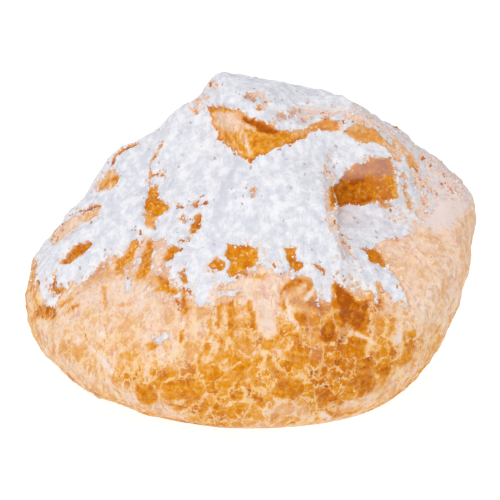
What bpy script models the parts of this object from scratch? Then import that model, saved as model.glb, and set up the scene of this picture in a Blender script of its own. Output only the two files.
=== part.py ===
"""Apple puff pastry: a parcel of puff dough folded up over an apple and baked. Metres, +Z up.

The origin is on the table, under the middle of the parcel's box. +X is the shown view's right, -Y its front.
"""

import math

import bmesh
import bpy
from mathutils import Vector, noise
from mathutils.bvhtree import BVHTree

# Driving dimensions
HEIGHT = 0.062          # crown of the bare parcel, before the flaps lie on it
LEAN = Vector((0.004, 0.005, 0.0))  # how far the crown sits from the middle of the foot

# Each side's profile as (reach from the leaning axis, height): foot, hip, belly, shoulder, crown.
SIDES = {
    "right": ((0.0395, 0.0), (0.0457, 0.014), (0.0500, 0.038), (0.036, 0.0515), (0.016, 0.060)),
    "back_right": ((0.040, 0.0), (0.0470, 0.014), (0.0480, 0.030), (0.034, 0.050), (0.015, 0.060)),
    "back": ((0.037, 0.0), (0.0440, 0.012), (0.0450, 0.026), (0.031, 0.047), (0.014, 0.059)),
    "back_left": ((0.040, 0.0), (0.0480, 0.010), (0.0480, 0.024), (0.033, 0.046), (0.014, 0.058)),
    "left": ((0.046, 0.0), (0.0555, 0.009), (0.0570, 0.026), (0.0385, 0.045), (0.015, 0.058)),
    "front_left": ((0.0395, 0.0), (0.0505, 0.009), (0.0505, 0.022), (0.036, 0.043), (0.015, 0.057)),
    "front": ((0.036, 0.0), (0.0442, 0.007), (0.0465, 0.020), (0.033, 0.044), (0.014, 0.057)),
    "front_right": ((0.0385, 0.0), (0.0472, 0.012), (0.0482, 0.027), (0.034, 0.044), (0.015, 0.055)),
}

# The flaps lie on the parcel. Each has its middle as (x, y, how far its top stands above the parcel),
# then its outline with, for each point, also how wide the rim rolls over.
FLAPS = {
    "front_flap": (
        (0.001, -0.021, 0.0045),
        (
            (-0.006, -0.012, 0.004, 0.003), (0.006, -0.004, 0.006, 0.003), (0.0165, 0.000, 0.0065, 0.001),
            (0.0170, -0.012, 0.007, 0.001), (0.0178, -0.022, 0.006, 0.001), (0.0210, -0.029, 0.002, 0.003),
            (0.0240, -0.037, -0.001, 0.004), (0.008, -0.040, -0.002, 0.004), (-0.010, -0.037, -0.002, 0.004),
            (-0.014, -0.024, 0.000, 0.004),
        ),
    ),
    "right_flap": (
        (0.026, -0.003, 0.0060),
        (
            (0.016, 0.001, 0.005, 0.002), (0.016, -0.0095, 0.0080, 0.002), (0.025, -0.0100, 0.0100, 0.003),
            (0.0325, -0.0100, 0.0085, 0.004), (0.0375, -0.004, 0.003, 0.004), (0.034, 0.004, 0.002, 0.003),
            (0.024, 0.008, 0.002, 0.002),
        ),
    ),
    "back_flap": (
        (0.007, 0.008, 0.0075),
        (
            (-0.0005, -0.0165, 0.008, 0.006), (0.006, -0.0115, 0.008, 0.005), (0.0135, -0.0075, 0.009, 0.004),
            (0.0185, -0.0045, 0.009, 0.003), (0.0245, -0.0015, 0.0095, 0.003), (0.031, -0.001, 0.008, 0.003),
            (0.0365, -0.003, 0.0035, 0.003), (0.040, 0.004, 0.001, 0.004), (0.036, 0.022, 0.001, 0.008),
            (0.022, 0.034, 0.001, 0.008), (0.000, 0.036, 0.001, 0.008), (-0.013, 0.024, 0.005, 0.008),
            (-0.013, 0.010, 0.006, 0.004), (-0.0105, 0.002, 0.006, 0.003), (-0.0066, -0.009, 0.008, 0.004),
        ),
    ),
}
# Folds and hollows of the dough: points along each (x, y, z), its half width and how far it stands out.
FOLDS = {
    "left_mound": (((-0.005, 0.002, 0.063), (-0.013, 0.004, 0.060)), 0.010, 0.0080),
    "left_slope": (((-0.018, 0.006, 0.057), (-0.032, 0.009, 0.049)), 0.008, 0.0025),
    "left_notch": (((-0.012, 0.005, 0.062), (-0.016, 0.005, 0.061)), 0.0045, 0.0040),
    "left_bump": (((-0.0335, 0.008, 0.049), (-0.0300, 0.008, 0.051)), 0.0042, 0.0032),
    "crown_dip": (((0.000, 0.004, 0.062), (0.006, 0.004, 0.061)), 0.006, -0.0012),
    "right_rim": (((0.020, 0.003, 0.059), (0.024, 0.005, 0.057)), 0.0040, 0.0035),
    "right_shoulder": (((0.040, 0.005, 0.050), (0.046, 0.003, 0.047)), 0.008, 0.0025),
    "rear_pleat": (((-0.022, 0.010, 0.055), (-0.031, 0.010, 0.049), (-0.038, 0.011, 0.042)), 0.0035, 0.0025),
    "side_pleat": (((-0.026, 0.002, 0.051), (-0.035, 0.000, 0.045), (-0.044, 0.000, 0.038)), 0.003, 0.002),
    "trough": (((-0.036, -0.005, 0.044), (-0.043, -0.003, 0.038), (-0.050, 0.001, 0.029)), 0.003, -0.003),
    "low_pleat": (((-0.028, -0.010, 0.047), (-0.040, -0.008, 0.038), (-0.050, -0.005, 0.026)), 0.004, 0.0025),
    "crease": (((-0.024, -0.021, 0.044), (-0.036, -0.019, 0.035), (-0.048, -0.016, 0.022)), 0.003, -0.003),
    "seam": (((-0.020, 0.000, 0.056), (-0.024, -0.008, 0.051), (-0.024, -0.018, 0.046)), 0.0025, -0.002),
    "valley": (((-0.004, -0.014, 0.060), (-0.007, -0.021, 0.054), (-0.010, -0.030, 0.046)), 0.004, -0.0015),
    "pocket": (((0.022, -0.012, 0.052), (0.033, -0.012, 0.050)), 0.008, -0.005),
    "pocket_front": (((0.020, -0.024, 0.048), (0.030, -0.020, 0.047)), 0.007, -0.0015),
}
FLAP_SINK = 0.004       # how deep a flap's underside sits in the parcel
FLAP_TILT = 0.3         # share of the parcel's slope that a flap's walls lean out with
FLAP_EDGE_SINK = 0.002  # how deep the rim of a flap's top dips in it
SKY = 2 * HEIGHT        # the flaps are dropped onto the parcel from this height
CORE_HEIGHT = HEIGHT / 3    # the folds push the dough straight away from this height on the axis

LUMP = 0.0009           # depth of the crust's lumps, and how wide they are
LUMP_SIZE = 0.014
CRAG = 0.0006           # depth of its crags, and how wide they are
CRAG_SIZE = 0.0055
CRAG_LAYERS = 2         # each layer of crags is half the size of the one before
SMOOTH_FOOT = 0.006     # height over which lumps and crags grow from nothing

BASE_CUT = 0.0003       # taken off the underside, where it has baked flat on the tray
CRUST_COLOR = (0.78, 0.42, 0.15, 1.0)
CRUST_ROUGHNESS = 0.65

# How finely the dough is modelled
AROUND = 96             # points round a ring of the parcel
ALONG = 48              # rings from the foot to the crown
FLAP_AROUND = 96
FLAP_RINGS = 24
RIM_CROWDING = 1.5      # above 1, a flap's rings crowd towards its rim
VOXEL = 0.0009
SMOOTHING = 4
TRIANGLES = 9800
SHORTEST_EDGE = 0.00005     # shorter edges along the cut are dissolved


def clear_scene():
    for obj in list(bpy.data.objects):
        bpy.data.objects.remove(obj, do_unlink=True)


def catmull_rom(points, t, closed=False):
    """The point at t, from 0 to 1, on a smooth curve through points, given as Vectors."""
    spans = len(points) if closed else len(points) - 1
    place = min(max(t, 0.0), 1.0) * spans
    i = min(int(place), spans - 1)
    u = place - i
    if closed:
        p0, p1, p2, p3 = (points[(i + k) % len(points)] for k in (-1, 0, 1, 2))
    else:
        p1, p2 = points[i], points[i + 1]
        p0 = points[i - 1] if i > 0 else p1 * 2 - p2
        p3 = points[i + 2] if i + 2 <= spans else p2 * 2 - p1
    return 0.5 * (
        2 * p1 + (p2 - p0) * u
        + (2 * p0 - 5 * p1 + 4 * p2 - p3) * u * u
        + (3 * p1 - p0 - 3 * p2 + p3) * u ** 3
    )


def side_point(index, t):
    """Reach and height of one side's profile at t, from the foot, 0, to the crown's middle, 1."""
    profile = list(SIDES.values())[index % len(SIDES)]
    points = [Vector(p) for p in profile] + [Vector((0.0, HEIGHT))]
    return catmull_rom(points, t)


def distance_to_path(point, path):
    best = math.inf
    for a, b in zip(path, path[1:]):
        along = b - a
        share = min(max((point - a).dot(along) / along.length_squared, 0.0), 1.0)
        best = min(best, (point - (a + along * share)).length)
    return best


def relief(point):
    """How far the folds and hollows push a point of the parcel outward."""
    total = 0.0
    for path, half_width, lift in FOLDS.values():
        away = distance_to_path(point, [Vector(p) for p in path])
        total += lift * math.exp(-(away / half_width) ** 2)
    return total


def body_point(angle, t):
    """A point of the parcel: angle round it, in radians from +X, and t from foot to crown."""
    place = angle / (2 * math.pi) * len(SIDES)
    i = math.floor(place)
    near = [side_point(i + k, t) for k in (-1, 0, 1, 2)]
    reach, height = catmull_rom(near, (place - i + 1) / 3)
    point = LEAN * (height / HEIGHT) + Vector((reach * math.cos(angle), reach * math.sin(angle), height))
    outward = (point - Vector((0, 0, CORE_HEIGHT))).normalized()
    return point + outward * relief(point)


def add_object(name, mesh):
    data = bpy.data.meshes.new(name)
    mesh.to_mesh(data)
    mesh.free()
    obj = bpy.data.objects.new(name, data)
    bpy.context.scene.collection.objects.link(obj)
    return obj


def bridge(mesh, low, high):
    for i in range(len(low)):
        k = (i + 1) % len(low)
        mesh.faces.new((low[i], low[k], high[k], high[i]))


def close_ring(mesh, ring, point):
    top = mesh.verts.new(point)
    for i in range(len(ring)):
        mesh.faces.new((ring[i], ring[(i + 1) % len(ring)], top))


def make_body(name):
    mesh = bmesh.new()
    rings = [
        [mesh.verts.new(body_point(2 * math.pi * i / AROUND, j / ALONG)) for i in range(AROUND)]
        for j in range(ALONG)
    ]
    for low, high in zip(rings, rings[1:]):
        bridge(mesh, low, high)
    close_ring(mesh, rings[-1], body_point(0.0, 1.0))
    mesh.faces.new(list(reversed(rings[0])))
    return add_object(name, mesh)


def make_flap(name, middle, outline, ground):
    """A slab that lies on the parcel, its rim rolled over, its underside sunk in the dough."""
    points = [Vector(p) for p in outline]
    middle = Vector((*middle, 0))

    def spot(i, share, sunk=False):
        edge = catmull_rom(points, i / FLAP_AROUND, closed=True)
        plan = middle.lerp(edge, share)
        hit, normal, _, _ = ground.ray_cast(Vector((plan.x, plan.y, SKY)), Vector((0, 0, -1)))
        if hit is None:
            raise ValueError(f"{name} reaches off the parcel at {plan.x:.4f}, {plan.y:.4f}")
        stand = Vector((normal.x * FLAP_TILT, normal.y * FLAP_TILT, normal.z)).normalized()
        if sunk:
            return hit - stand * FLAP_SINK
        inside = min((1 - share) * (edge.xy - middle.xy).length / edge.w, 1.0)
        roll = math.sqrt(1 - (1 - inside) ** 2)
        return hit + stand * (plan.z * roll - FLAP_EDGE_SINK * (1 - roll))

    mesh = bmesh.new()
    shares = [1 - (k / FLAP_RINGS) ** RIM_CROWDING for k in range(FLAP_RINGS)]
    top = [[mesh.verts.new(spot(i, s)) for i in range(FLAP_AROUND)] for s in shares]
    under = [[mesh.verts.new(spot(i, s, True)) for i in range(FLAP_AROUND)] for s in shares]
    for outer, inner in zip(top, top[1:]):
        bridge(mesh, outer, inner)
    for outer, inner in zip(under, under[1:]):
        bridge(mesh, inner, outer)
    bridge(mesh, under[0], top[0])
    close_ring(mesh, top[-1], spot(0, 0.0))
    close_ring(mesh, list(reversed(under[-1])), spot(0, 0.0, True))
    bmesh.ops.recalc_face_normals(mesh, faces=mesh.faces)
    return add_object(name, mesh)


def bake_modifiers(obj):
    """Replace the object's mesh by what its modifiers make of it."""
    bpy.context.view_layer.update()
    graph = bpy.context.evaluated_depsgraph_get()
    data = bpy.data.meshes.new_from_object(obj.evaluated_get(graph))
    obj.modifiers.clear()
    obj.data = data


def join_dough(body, flaps):
    bpy.context.view_layer.update()
    with bpy.context.temp_override(active_object=body, selected_editable_objects=[body, *flaps]):
        bpy.ops.object.join()
    remesh = body.modifiers.new("one_dough", "REMESH")
    remesh.mode = "VOXEL"
    remesh.voxel_size = VOXEL
    smooth = body.modifiers.new("soft_dough", "SMOOTH")
    smooth.iterations = SMOOTHING
    bake_modifiers(body)


def roughen(obj):
    """Push the crust in and out by its lumps and crags, but not the underside."""
    outward = [vert.normal.copy() for vert in obj.data.vertices]
    for vert, normal in zip(obj.data.vertices, outward):
        lump = noise.noise(vert.co / LUMP_SIZE)
        crag = noise.turbulence(vert.co / CRAG_SIZE, CRAG_LAYERS, False)
        above = min(vert.co.z / SMOOTH_FOOT, 1.0)
        vert.co += normal * (LUMP * lump + CRAG * crag) * above


def thin_out(obj):
    """Bring the mesh down to the wanted number of triangles, the fewest where it is smoothest."""
    obj.modifiers.new("triangles", "TRIANGULATE")
    bake_modifiers(obj)
    fewer = obj.modifiers.new("fewer_triangles", "DECIMATE")
    fewer.ratio = TRIANGLES / len(obj.data.polygons)
    bake_modifiers(obj)


def flatten_base(obj):
    mesh = bmesh.new()
    mesh.from_mesh(obj.data)
    base = min(vert.co.z for vert in mesh.verts) + BASE_CUT
    everything = [*mesh.verts, *mesh.edges, *mesh.faces]
    cut = bmesh.ops.bisect_plane(
        mesh, geom=everything, plane_co=(0, 0, base), plane_no=(0, 0, 1), clear_inner=True
    )
    rim = [item for item in cut["geom_cut"] if isinstance(item, bmesh.types.BMEdge)]
    bmesh.ops.contextual_create(mesh, geom=rim)
    bmesh.ops.dissolve_degenerate(mesh, edges=mesh.edges, dist=SHORTEST_EDGE)
    bmesh.ops.triangulate(mesh, faces=mesh.faces)
    bmesh.ops.recalc_face_normals(mesh, faces=mesh.faces)
    low = [min(vert.co[axis] for vert in mesh.verts) for axis in range(3)]
    high = [max(vert.co[axis] for vert in mesh.verts) for axis in range(3)]
    shift = Vector((-(low[0] + high[0]) / 2, -(low[1] + high[1]) / 2, -low[2]))
    bmesh.ops.translate(mesh, verts=mesh.verts, vec=shift)
    mesh.to_mesh(obj.data)
    mesh.free()


def baked_crust():
    material = bpy.data.materials.new("baked_crust")
    material.use_nodes = True
    shader = material.node_tree.nodes["Principled BSDF"]
    shader.inputs["Base Color"].default_value = CRUST_COLOR
    shader.inputs["Roughness"].default_value = CRUST_ROUGHNESS
    shader.inputs["Metallic"].default_value = 0.0
    return material


def main():
    clear_scene()
    pastry = make_body("puff_pastry")
    ground = BVHTree.FromObject(pastry, bpy.context.evaluated_depsgraph_get())
    flaps = [make_flap(name, middle, outline, ground) for name, (middle, outline) in FLAPS.items()]
    join_dough(pastry, flaps)
    roughen(pastry)
    thin_out(pastry)
    flatten_base(pastry)
    pastry.data.materials.clear()
    pastry.data.materials.append(baked_crust())
    pastry.data.shade_smooth()
    collection = bpy.data.collections.new("Apple puff pastry")
    bpy.context.scene.collection.children.link(collection)
    bpy.context.scene.collection.objects.unlink(pastry)
    collection.objects.link(pastry)


main()
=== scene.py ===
"""The looks of a baked apple pastry: its crust, its powdered sugar and its loose flakes.

Metres, +Z up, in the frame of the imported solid, which the crust follows.
"""

import math
from collections import namedtuple

import bmesh
import bpy
import numpy as np
from bpy.props import FloatProperty, FloatVectorProperty, IntProperty, PointerProperty
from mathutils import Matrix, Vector, noise
from mathutils.bvhtree import BVHTree


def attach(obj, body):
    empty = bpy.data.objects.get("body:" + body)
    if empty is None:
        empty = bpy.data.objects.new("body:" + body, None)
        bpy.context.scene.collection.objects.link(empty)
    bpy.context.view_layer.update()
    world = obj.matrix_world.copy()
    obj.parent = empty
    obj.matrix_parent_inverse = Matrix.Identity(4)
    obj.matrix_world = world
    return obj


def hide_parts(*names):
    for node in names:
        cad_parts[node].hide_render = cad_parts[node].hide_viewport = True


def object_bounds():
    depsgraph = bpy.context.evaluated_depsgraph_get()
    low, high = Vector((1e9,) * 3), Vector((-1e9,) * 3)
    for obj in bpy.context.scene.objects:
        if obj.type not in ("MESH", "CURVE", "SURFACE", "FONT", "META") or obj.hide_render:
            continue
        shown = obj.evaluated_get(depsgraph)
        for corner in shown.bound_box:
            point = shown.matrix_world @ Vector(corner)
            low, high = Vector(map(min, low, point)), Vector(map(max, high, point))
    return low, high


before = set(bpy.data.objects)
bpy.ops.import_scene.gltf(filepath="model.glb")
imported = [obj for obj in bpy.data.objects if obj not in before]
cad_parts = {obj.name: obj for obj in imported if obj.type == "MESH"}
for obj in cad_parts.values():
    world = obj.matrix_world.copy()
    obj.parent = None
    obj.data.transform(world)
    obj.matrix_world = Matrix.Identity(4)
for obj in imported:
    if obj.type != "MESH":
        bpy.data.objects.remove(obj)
CAD_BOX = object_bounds()

bl_info = {
    "name": "Apple puff pastry",
    "version": (1, 0, 0),
    "blender": (4, 5, 0),
    "location": "View3D > Sidebar > Pastry",
    "description": "Dresses a packed pastry solid with its crust, sugar and flakes",
    "category": "Object",
}

SOLID = "puff_pastry"
CRUST = "pastry_crust"
MM = 0.001
CM2_PER_M2 = 10000.0

# The photo: its side in pixels, how large it shows the pastry, and the point that its middle shows.
PHOTO_SIDE = 500
PIXELS_PER_METRE = 4070.0
AIM = Vector((0.0, 0.0, 0.0295))
SENSOR = 36.0           # mm, as Blender gives a lens


def tone(red, green, blue):
    """A colour as it looks on screen, 0 to 255, in the light units that Blender works in."""
    shown = [value / 255 for value in (red, green, blue)]
    return tuple(v / 12.92 if v <= 0.04045 else ((v + 0.055) / 1.055) ** 2.4 for v in shown)


# Where the sugar ends: in front as pixels of the photo, left to right, and behind as heights above the table
# at angles round the parcel, in degrees from +X.
SUGAR_EDGE_SHOWN = (
    (33, 262), (42, 296), (60, 293), (85, 280), (105, 264), (120, 257), (140, 253), (160, 272),
    (182, 288), (200, 296), (222, 288), (262, 268), (292, 282), (326, 298), (345, 292), (372, 298),
    (402, 300), (414, 262), (428, 235), (446, 212), (462, 196),
)
SUGAR_EDGE_BEHIND = {25: 0.046, 55: 0.041, 85: 0.043, 115: 0.038, 145: 0.036}

# How far the crust is baked, from pale dough, 0, to burnt edges, 1. The glaze starts in the middle.
CREAM = 0.05
PALE_GOLD = 0.46
GOLD = 0.62
DEEP_GOLD = 0.76
BROWN = 0.94
BURNT = 1.0

# What a mark does to the sugar. A number between bare and kept leaves it speckled.
BARE = -1
KEPT = 0
SUGARED = 1
LEAST_BARE = -0.4       # beside a speckled mark, the sugar thickens as it does beside one this bare

# Marks on the shown side, traced in pixels of the photo, each laid over the ones before it. A path has
# a half width, and an area is its own outline. Bake and dust are what the mark turns the crust to, where it
# has them, and soft is how wide its edge fades.
AREA = 0
# A mark's dust is a film of sugar dust on the crust, and where sugar stays it greys that sugar as painted
# shade.
Mark = namedtuple("Mark", "points half_width sugar bake dust soft", defaults=(None, None, 2.0))
MARKS = {
    # the crust below the sugar
    "left_pale": Mark(((60, 330), (110, 315), (165, 325)), 32, KEPT, 0.25, 0.25, 20.0),
    "left_rosy": Mark(((92, 296), (128, 292), (155, 302)), 14, KEPT, 0.22, 0.38, 12.0),
    "lower_left_pale": Mark(((80, 372), (125, 350)), 16, KEPT, 0.33, 0.10, 12.0),
    "front_low": Mark(
        (
            (138, 358), (156, 376), (185, 376), (203, 348), (240, 340), (275, 332), (300, 315), (380, 315),
            (425, 330), (420, 370), (395, 405), (330, 430), (230, 430), (160, 412), (132, 390),
        ),
        AREA, KEPT, 0.58, 0.0, 10.0,
    ),
    "front_right_low": Mark(((330, 345), (345, 385)), 34, KEPT, 0.70, 0.0, 20.0),
    "left_crack": Mark(((83, 330), (87, 337)), 1.2, KEPT, 0.72, 0.0, 1.0),
    "left_ridge": Mark(((86, 341), (95, 350), (103, 360), (112, 373)), 1.6, KEPT, 0.02, 0.5, 1.2),
    "left_foot_gold": Mark(((84, 378), (96, 376), (108, 382)), 5.0, KEPT, 0.44, 0.0, 3.0),
    "left_belly_gold": Mark(((64, 350), (80, 356)), 6.0, KEPT, 0.36, 0.1, 4.0),
    "left_foot_pale": Mark(
        ((62, 362), (90, 380), (120, 393), (150, 404), (178, 414)),
        9, KEPT, 0.30, 0.25, 9.0,
    ),
    "foot_pale": Mark(((272, 411), (290, 409), (306, 413)), 6, KEPT, 0.30, 0.3, 6.0),
    "right_foot_pale": Mark(((372, 397), (392, 387), (409, 372)), 6, KEPT, 0.28, 0.3, 7.0),
    "brown_halo": Mark(((346, 312), (342, 345), (334, 368)), 16, KEPT, 0.82, 0.0, 14.0),
    "front_pale": Mark(((243, 350), (257, 350)), 8, KEPT, 0.44, 0.1, 7.0),
    "right_side_pale": Mark(((424, 334), (430, 350), (418, 368)), 6, KEPT, 0.22, 0.3, 7.0),
    "foot_right_mid": Mark(((344, 408), (352, 405), (366, 400)), 5, KEPT, 0.34, 0.25, 6.0),
    "right_gold": Mark(((383, 326), (392, 334)), 6, KEPT, 0.56, 0.0, 5.0),
    "centre_pale": Mark(((192, 312), (186, 340), (180, 356)), 16, KEPT, 0.30, 0.18, 10.0),
    "centre_honey": Mark(((184, 340), (204, 344)), 9, KEPT, 0.37, 0.10, 9.0),
    "centre_pale_right": Mark(((211, 300), (215, 322)), 12, KEPT, 0.27, 0.20, 8.0),
    "right_pale": Mark(((438, 195), (446, 270), (430, 310)), 26, KEPT, 0.20, 0.30, 18.0),
    "right_low_pale": Mark(((400, 385), (435, 335)), 9, KEPT, 0.34, 0.10, 12.0),
    "front_foot": Mark(((240, 426), (300, 426), (350, 418), (392, 394)), 6, KEPT, 0.36, 0.15, 6.0),
    "right_dusty": Mark(((384, 290), (388, 308)), 6, KEPT, 0.42, 0.35, 6.0),
    "pale_flap": Mark(((262, 300), (268, 328)), 10, KEPT, 0.18, 0.4, 5.0),
    # the cut that the back flap leaves above the front flap
    "cut_wall": Mark(
        (
            (207, 105), (222, 108), (240, 110), (251, 117), (270, 124), (283, 131), (300, 131), (312, 124),
            (310, 133), (299, 140), (281, 147), (263, 156), (250, 162), (234, 151), (220, 139), (210, 118),
        ),
        AREA, BARE, 0.56, 0.0,
    ),
    "cut_wall_pale": Mark(
        ((211, 113), (224, 110), (240, 112), (246, 122), (244, 131), (234, 133), (222, 130), (216, 123)),
        AREA, KEPT, 0.25, 0.28, 4.0,
    ),
    # a painted highlight down the vertical edge of the cut's corner, as paler dough
    "cut_wall_edge_highlight": Mark(((247, 134), (247, 146), (250, 155)), 1.8, KEPT, 0.18, 0.1, 1.0),
    "cut_wall_left": Mark(((216, 128), (226, 141), (242, 155)), 2.0, KEPT, 0.36, 0.1, 1.0),
    "cut_wall_strand_a": Mark(((227, 132), (238, 149)), 1.2, KEPT, 0.34, 0.0, 1.0),
    "cut_wall_strand_b": Mark(((262, 136), (262, 151)), 1.3, KEPT, 0.30, 0.0, 1.0),
    "cut_wall_strand_c": Mark(((277, 133), (283, 143)), 1.2, KEPT, 0.34, 0.0, 1.0),
    "cut_wall_groove": Mark(((256, 135), (256, 156)), 1.4, KEPT, 0.74, 0.0, 1.0),
    "cut_wall_right": Mark(((272, 128), (290, 133), (308, 130)), 3.5, KEPT, 0.40, 0.2, 3.0),
    "cut_wall_corner": Mark(((209, 109), (219, 108), (231, 109)), 2.2, BARE, GOLD, 0.0),
    "cut_wall_shadow": Mark(((262, 141), (275, 140), (285, 136)), 4.0, KEPT, 0.72, 0.0, 3.0),
    "cut_wall_brown": Mark(((246, 118), (252, 122), (262, 128), (275, 131)), 3.6, BARE, 0.98, 0.0, 1.2),
    "cut_wall_spot": Mark(((246, 127), (254, 131)), 1.5, KEPT, 0.16, 0.5, 1.0),
    # a dark line along the foot of the cut's wall: partly browned edge, partly painted contact shadow
    "cut_wall_foot": Mark(
        ((212, 124), (221, 140), (232, 150), (250, 162), (281, 148), (306, 135)),
        1.2, KEPT, BROWN, 0.0, 1.2,
    ),
    # the back flap's rim
    "rim_left": Mark(
        ((307, 133), (313, 124), (327, 119), (340, 121), (345, 127), (336, 132), (326, 129)),
        AREA, BARE, 0.66, 0.1,
    ),
    "rim_middle": Mark(
        (
            (344, 134), (347, 126), (360, 125), (374, 130), (385, 139), (397, 149), (402, 161), (394, 162),
            (384, 148), (371, 142), (357, 142),
        ),
        AREA, BARE, 0.50, 0.1,
    ),
    "rim_end": Mark(((388, 146), (396, 156)), 4.5, KEPT, 0.40, 0.3, 3.0),
    "rim_gap": Mark(((341, 124), (345, 134)), 1.8, KEPT, 0.12, 0.5, 1.0),
    "rim_peach": Mark(((356, 119), (370, 120), (388, 132), (404, 150), (414, 164)), 4.0, BARE, 0.32, 0.3),
    "rim_dots": Mark(((277, 118), (296, 115), (312, 115)), 3.4, -0.1, 0.84, 0.5),
    "rim_film": Mark(((300, 117), (316, 113), (332, 113), (346, 117)), 3.6, -0.25, 0.28, 0.7),
    "top_spot": Mark(((246, 95), (250, 98), (255, 101)), 2.6, BARE, BROWN, 0.35),
    "top_spot_pale": Mark(((258, 95), (264, 100), (265, 106)), 3.0, -0.5, 0.20, 0.55),
    "top_dot": Mark(((257, 108), (262, 109)), 2.0, BARE, DEEP_GOLD, 0.2),
    "top_corner": Mark(((213, 85), (217, 90)), 3.4, BARE, CREAM, 0.6),
    "left_shoulder": Mark(((195, 108), (200, 102), (205, 97)), 3.8, -0.35, 0.30, 0.5),
    "far_blotch": Mark(((407, 157), (413, 153), (420, 160), (417, 170), (410, 168)), AREA, BARE, 0.48, 0.1),
    # the pocket under the right flap
    "pocket": Mark(
        (
            (329, 188), (350, 177), (371, 174), (390, 172), (393, 187), (396, 196), (387, 202), (352, 205),
            (330, 207),
        ),
        AREA, BARE, 0.74, 0.0,
    ),
    "pocket_rim": Mark(((331, 186), (330, 198), (331, 208)), 2.2, BARE, 0.66, 0.0, 1.5),
    # painted shade deep in the pocket, under the right flap's lip, as darker glaze
    "pocket_deep_painted_shade": Mark(((338, 190), (352, 184), (366, 181)), 4.0, KEPT, 0.90, 0.0, 3.0),
    "pocket_right": Mark(((378, 180), (384, 192)), 7.0, KEPT, 0.84, 0.05, 5.0),
    # painted shade in the pocket's lower corner beside the front flap, as darker glaze
    "pocket_corner_painted_shade": Mark(((333, 200), (345, 202), (362, 202)), 3.0, KEPT, 0.92, 0.0, 3.0),
    "pocket_light": Mark(((392, 176), (394, 188), (396, 196)), 2.2, BARE, PALE_GOLD, 0.0),
    "pocket_lip": Mark(
        ((337, 181), (345, 170), (356, 163), (371, 159), (391, 158), (394, 175), (371, 177), (350, 180)),
        AREA, -0.8, 0.88, 0.25,
    ),
    # the front flap's right edge
    # a film of sugar on the bare crust down the flap's side; on the sugar left there its dust is painted
    # shade
    "flap_side": Mark(((331, 152), (328, 165), (327, 185), (328, 207)), 3.0, -0.26, 0.30, 0.7),
    "flap_foot": Mark(((330, 212), (334, 226), (342, 243), (346, 255)), 4.0, -0.33, 0.26, 0.7),
    # painted shade in a crease of the front flap: its dust only greys the sugar there
    "flap_crease_painted_shade": Mark(((240, 160), (231, 178), (225, 196), (216, 222)), 2.5, KEPT, None, 0.8, 5.0),
    "flap_mark": Mark(((252, 188), (253, 196)), 2.6, BARE, GOLD, 0.3),
    # the left flap's seam and its flakes
    "seam_dots": Mark(((163, 141), (157, 154), (151, 164), (149, 184)), 1.5, BARE, GOLD, 0.3),
    "seam_knot": Mark(((152, 176), (160, 174), (164, 179)), 1.5, BARE, DEEP_GOLD, 0.0),
    "seam_patch": Mark(
        (
            (148, 184), (159, 186), (160, 198), (168, 206), (167, 212), (160, 216), (154, 218), (146, 210),
            (143, 206), (148, 196),
        ),
        AREA, BARE, 0.62, 0.0, 1.0,
    ),
    "seam_tail": Mark(((142, 212), (159, 215), (157, 224), (152, 231), (145, 223)), AREA, BARE, 0.52, 0.1),
    "flake_gap": Mark(
        ((195, 216), (202, 215), (201, 226), (193, 236), (189, 232)),
        AREA, BARE, 0.84, 0.0, 1.0,
    ),
    "flake_dash_a": Mark(((191, 203), (197, 206), (206, 203)), 1.4, BARE, BURNT, 0.0, 1.0),
    "flake_dash_b": Mark(((181, 219), (188, 220)), 1.4, BARE, BURNT, 0.0, 1.0),
    "flake_dash_c": Mark(((176, 204), (184, 208)), 1.2, BARE, BURNT, 0.0, 1.0),
    "flake_dash_d": Mark(((179, 242), (190, 239)), 1.4, BARE, BURNT, 0.0, 1.0),
    # the ridges and troughs at the left
    "bump_side": Mark(
        ((96, 191), (99, 182), (106, 174), (116, 166), (119, 176), (121, 182), (110, 190)),
        AREA, BARE, 0.36, 0.2,
    ),
    "bump_gold": Mark(((100, 189), (107, 183), (115, 177), (118, 181)), 2.0, KEPT, 0.68, 0.0, 1.0),
    "bump_rim": Mark(((112, 163), (119, 153), (128, 147), (137, 145)), 2.2, BARE, BROWN, 0.0),
    "trough_side": Mark(
        ((50, 245), (60, 228), (74, 216), (81, 214), (80, 226), (68, 236), (58, 244)),
        AREA, BARE, 0.24, 0.35,
    ),
    "trough": Mark(((80, 214), (102, 209), (98, 218), (82, 224)), AREA, BARE, 0.36, 0.15),
    "trough_rim": Mark(((52, 240), (66, 221), (74, 213), (86, 210), (101, 206)), 1.4, BARE, BROWN, 0.0, 1.0),
    "slot": Mark(
        ((60, 264), (66, 254), (76, 246), (88, 240), (94, 242), (86, 250), (76, 258), (66, 264)),
        AREA, BARE, 0.84, 0.0,
    ),
    "slot_end": Mark(((57, 274), (53, 282), (52, 288), (57, 292), (66, 289)), 2.4, BARE, DEEP_GOLD, 0.0),
    "outer_edge": Mark(((36, 264), (33, 278), (33, 300)), 2.6, BARE, 0.56, 0.1),
    "outer_ridge": Mark(((43, 262), (42, 280), (44, 296)), 3.2, SUGARED),
    "outer_spot": Mark(
        ((34, 306), (46, 305), (57, 308), (58, 316), (50, 321), (38, 318)),
        AREA, BARE, 0.80, 0.0, 1.5,
    ),
    "outer_cream": Mark(((40, 296), (48, 300), (58, 302)), 3.5, KEPT, CREAM, 0.0, 2.0),
    "crease_dots": Mark(((63, 304), (71, 299), (86, 284), (104, 266)), 1.2, BARE, GOLD, 0.3),
    "below_crease": Mark(((104, 289), (106, 303)), 2.2, KEPT, GOLD, 0.1),
    "side_stroke": Mark(((62, 305), (71, 299)), 2.0, KEPT, 0.66, 0.0),
    "side_stroke_low": Mark(((64, 315), (72, 309), (79, 305)), 1.2, KEPT, 0.72, 0.0, 1.0),
    "peach_spot": Mark(((123, 304), (129, 304)), 3.2, KEPT, 0.46, 0.1),
    "left_flecks": Mark(((90, 312), (96, 322)), 5.0, KEPT, 0.46, 0.25, 4.0),
    # golden gaps along the sugar's edge
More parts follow.
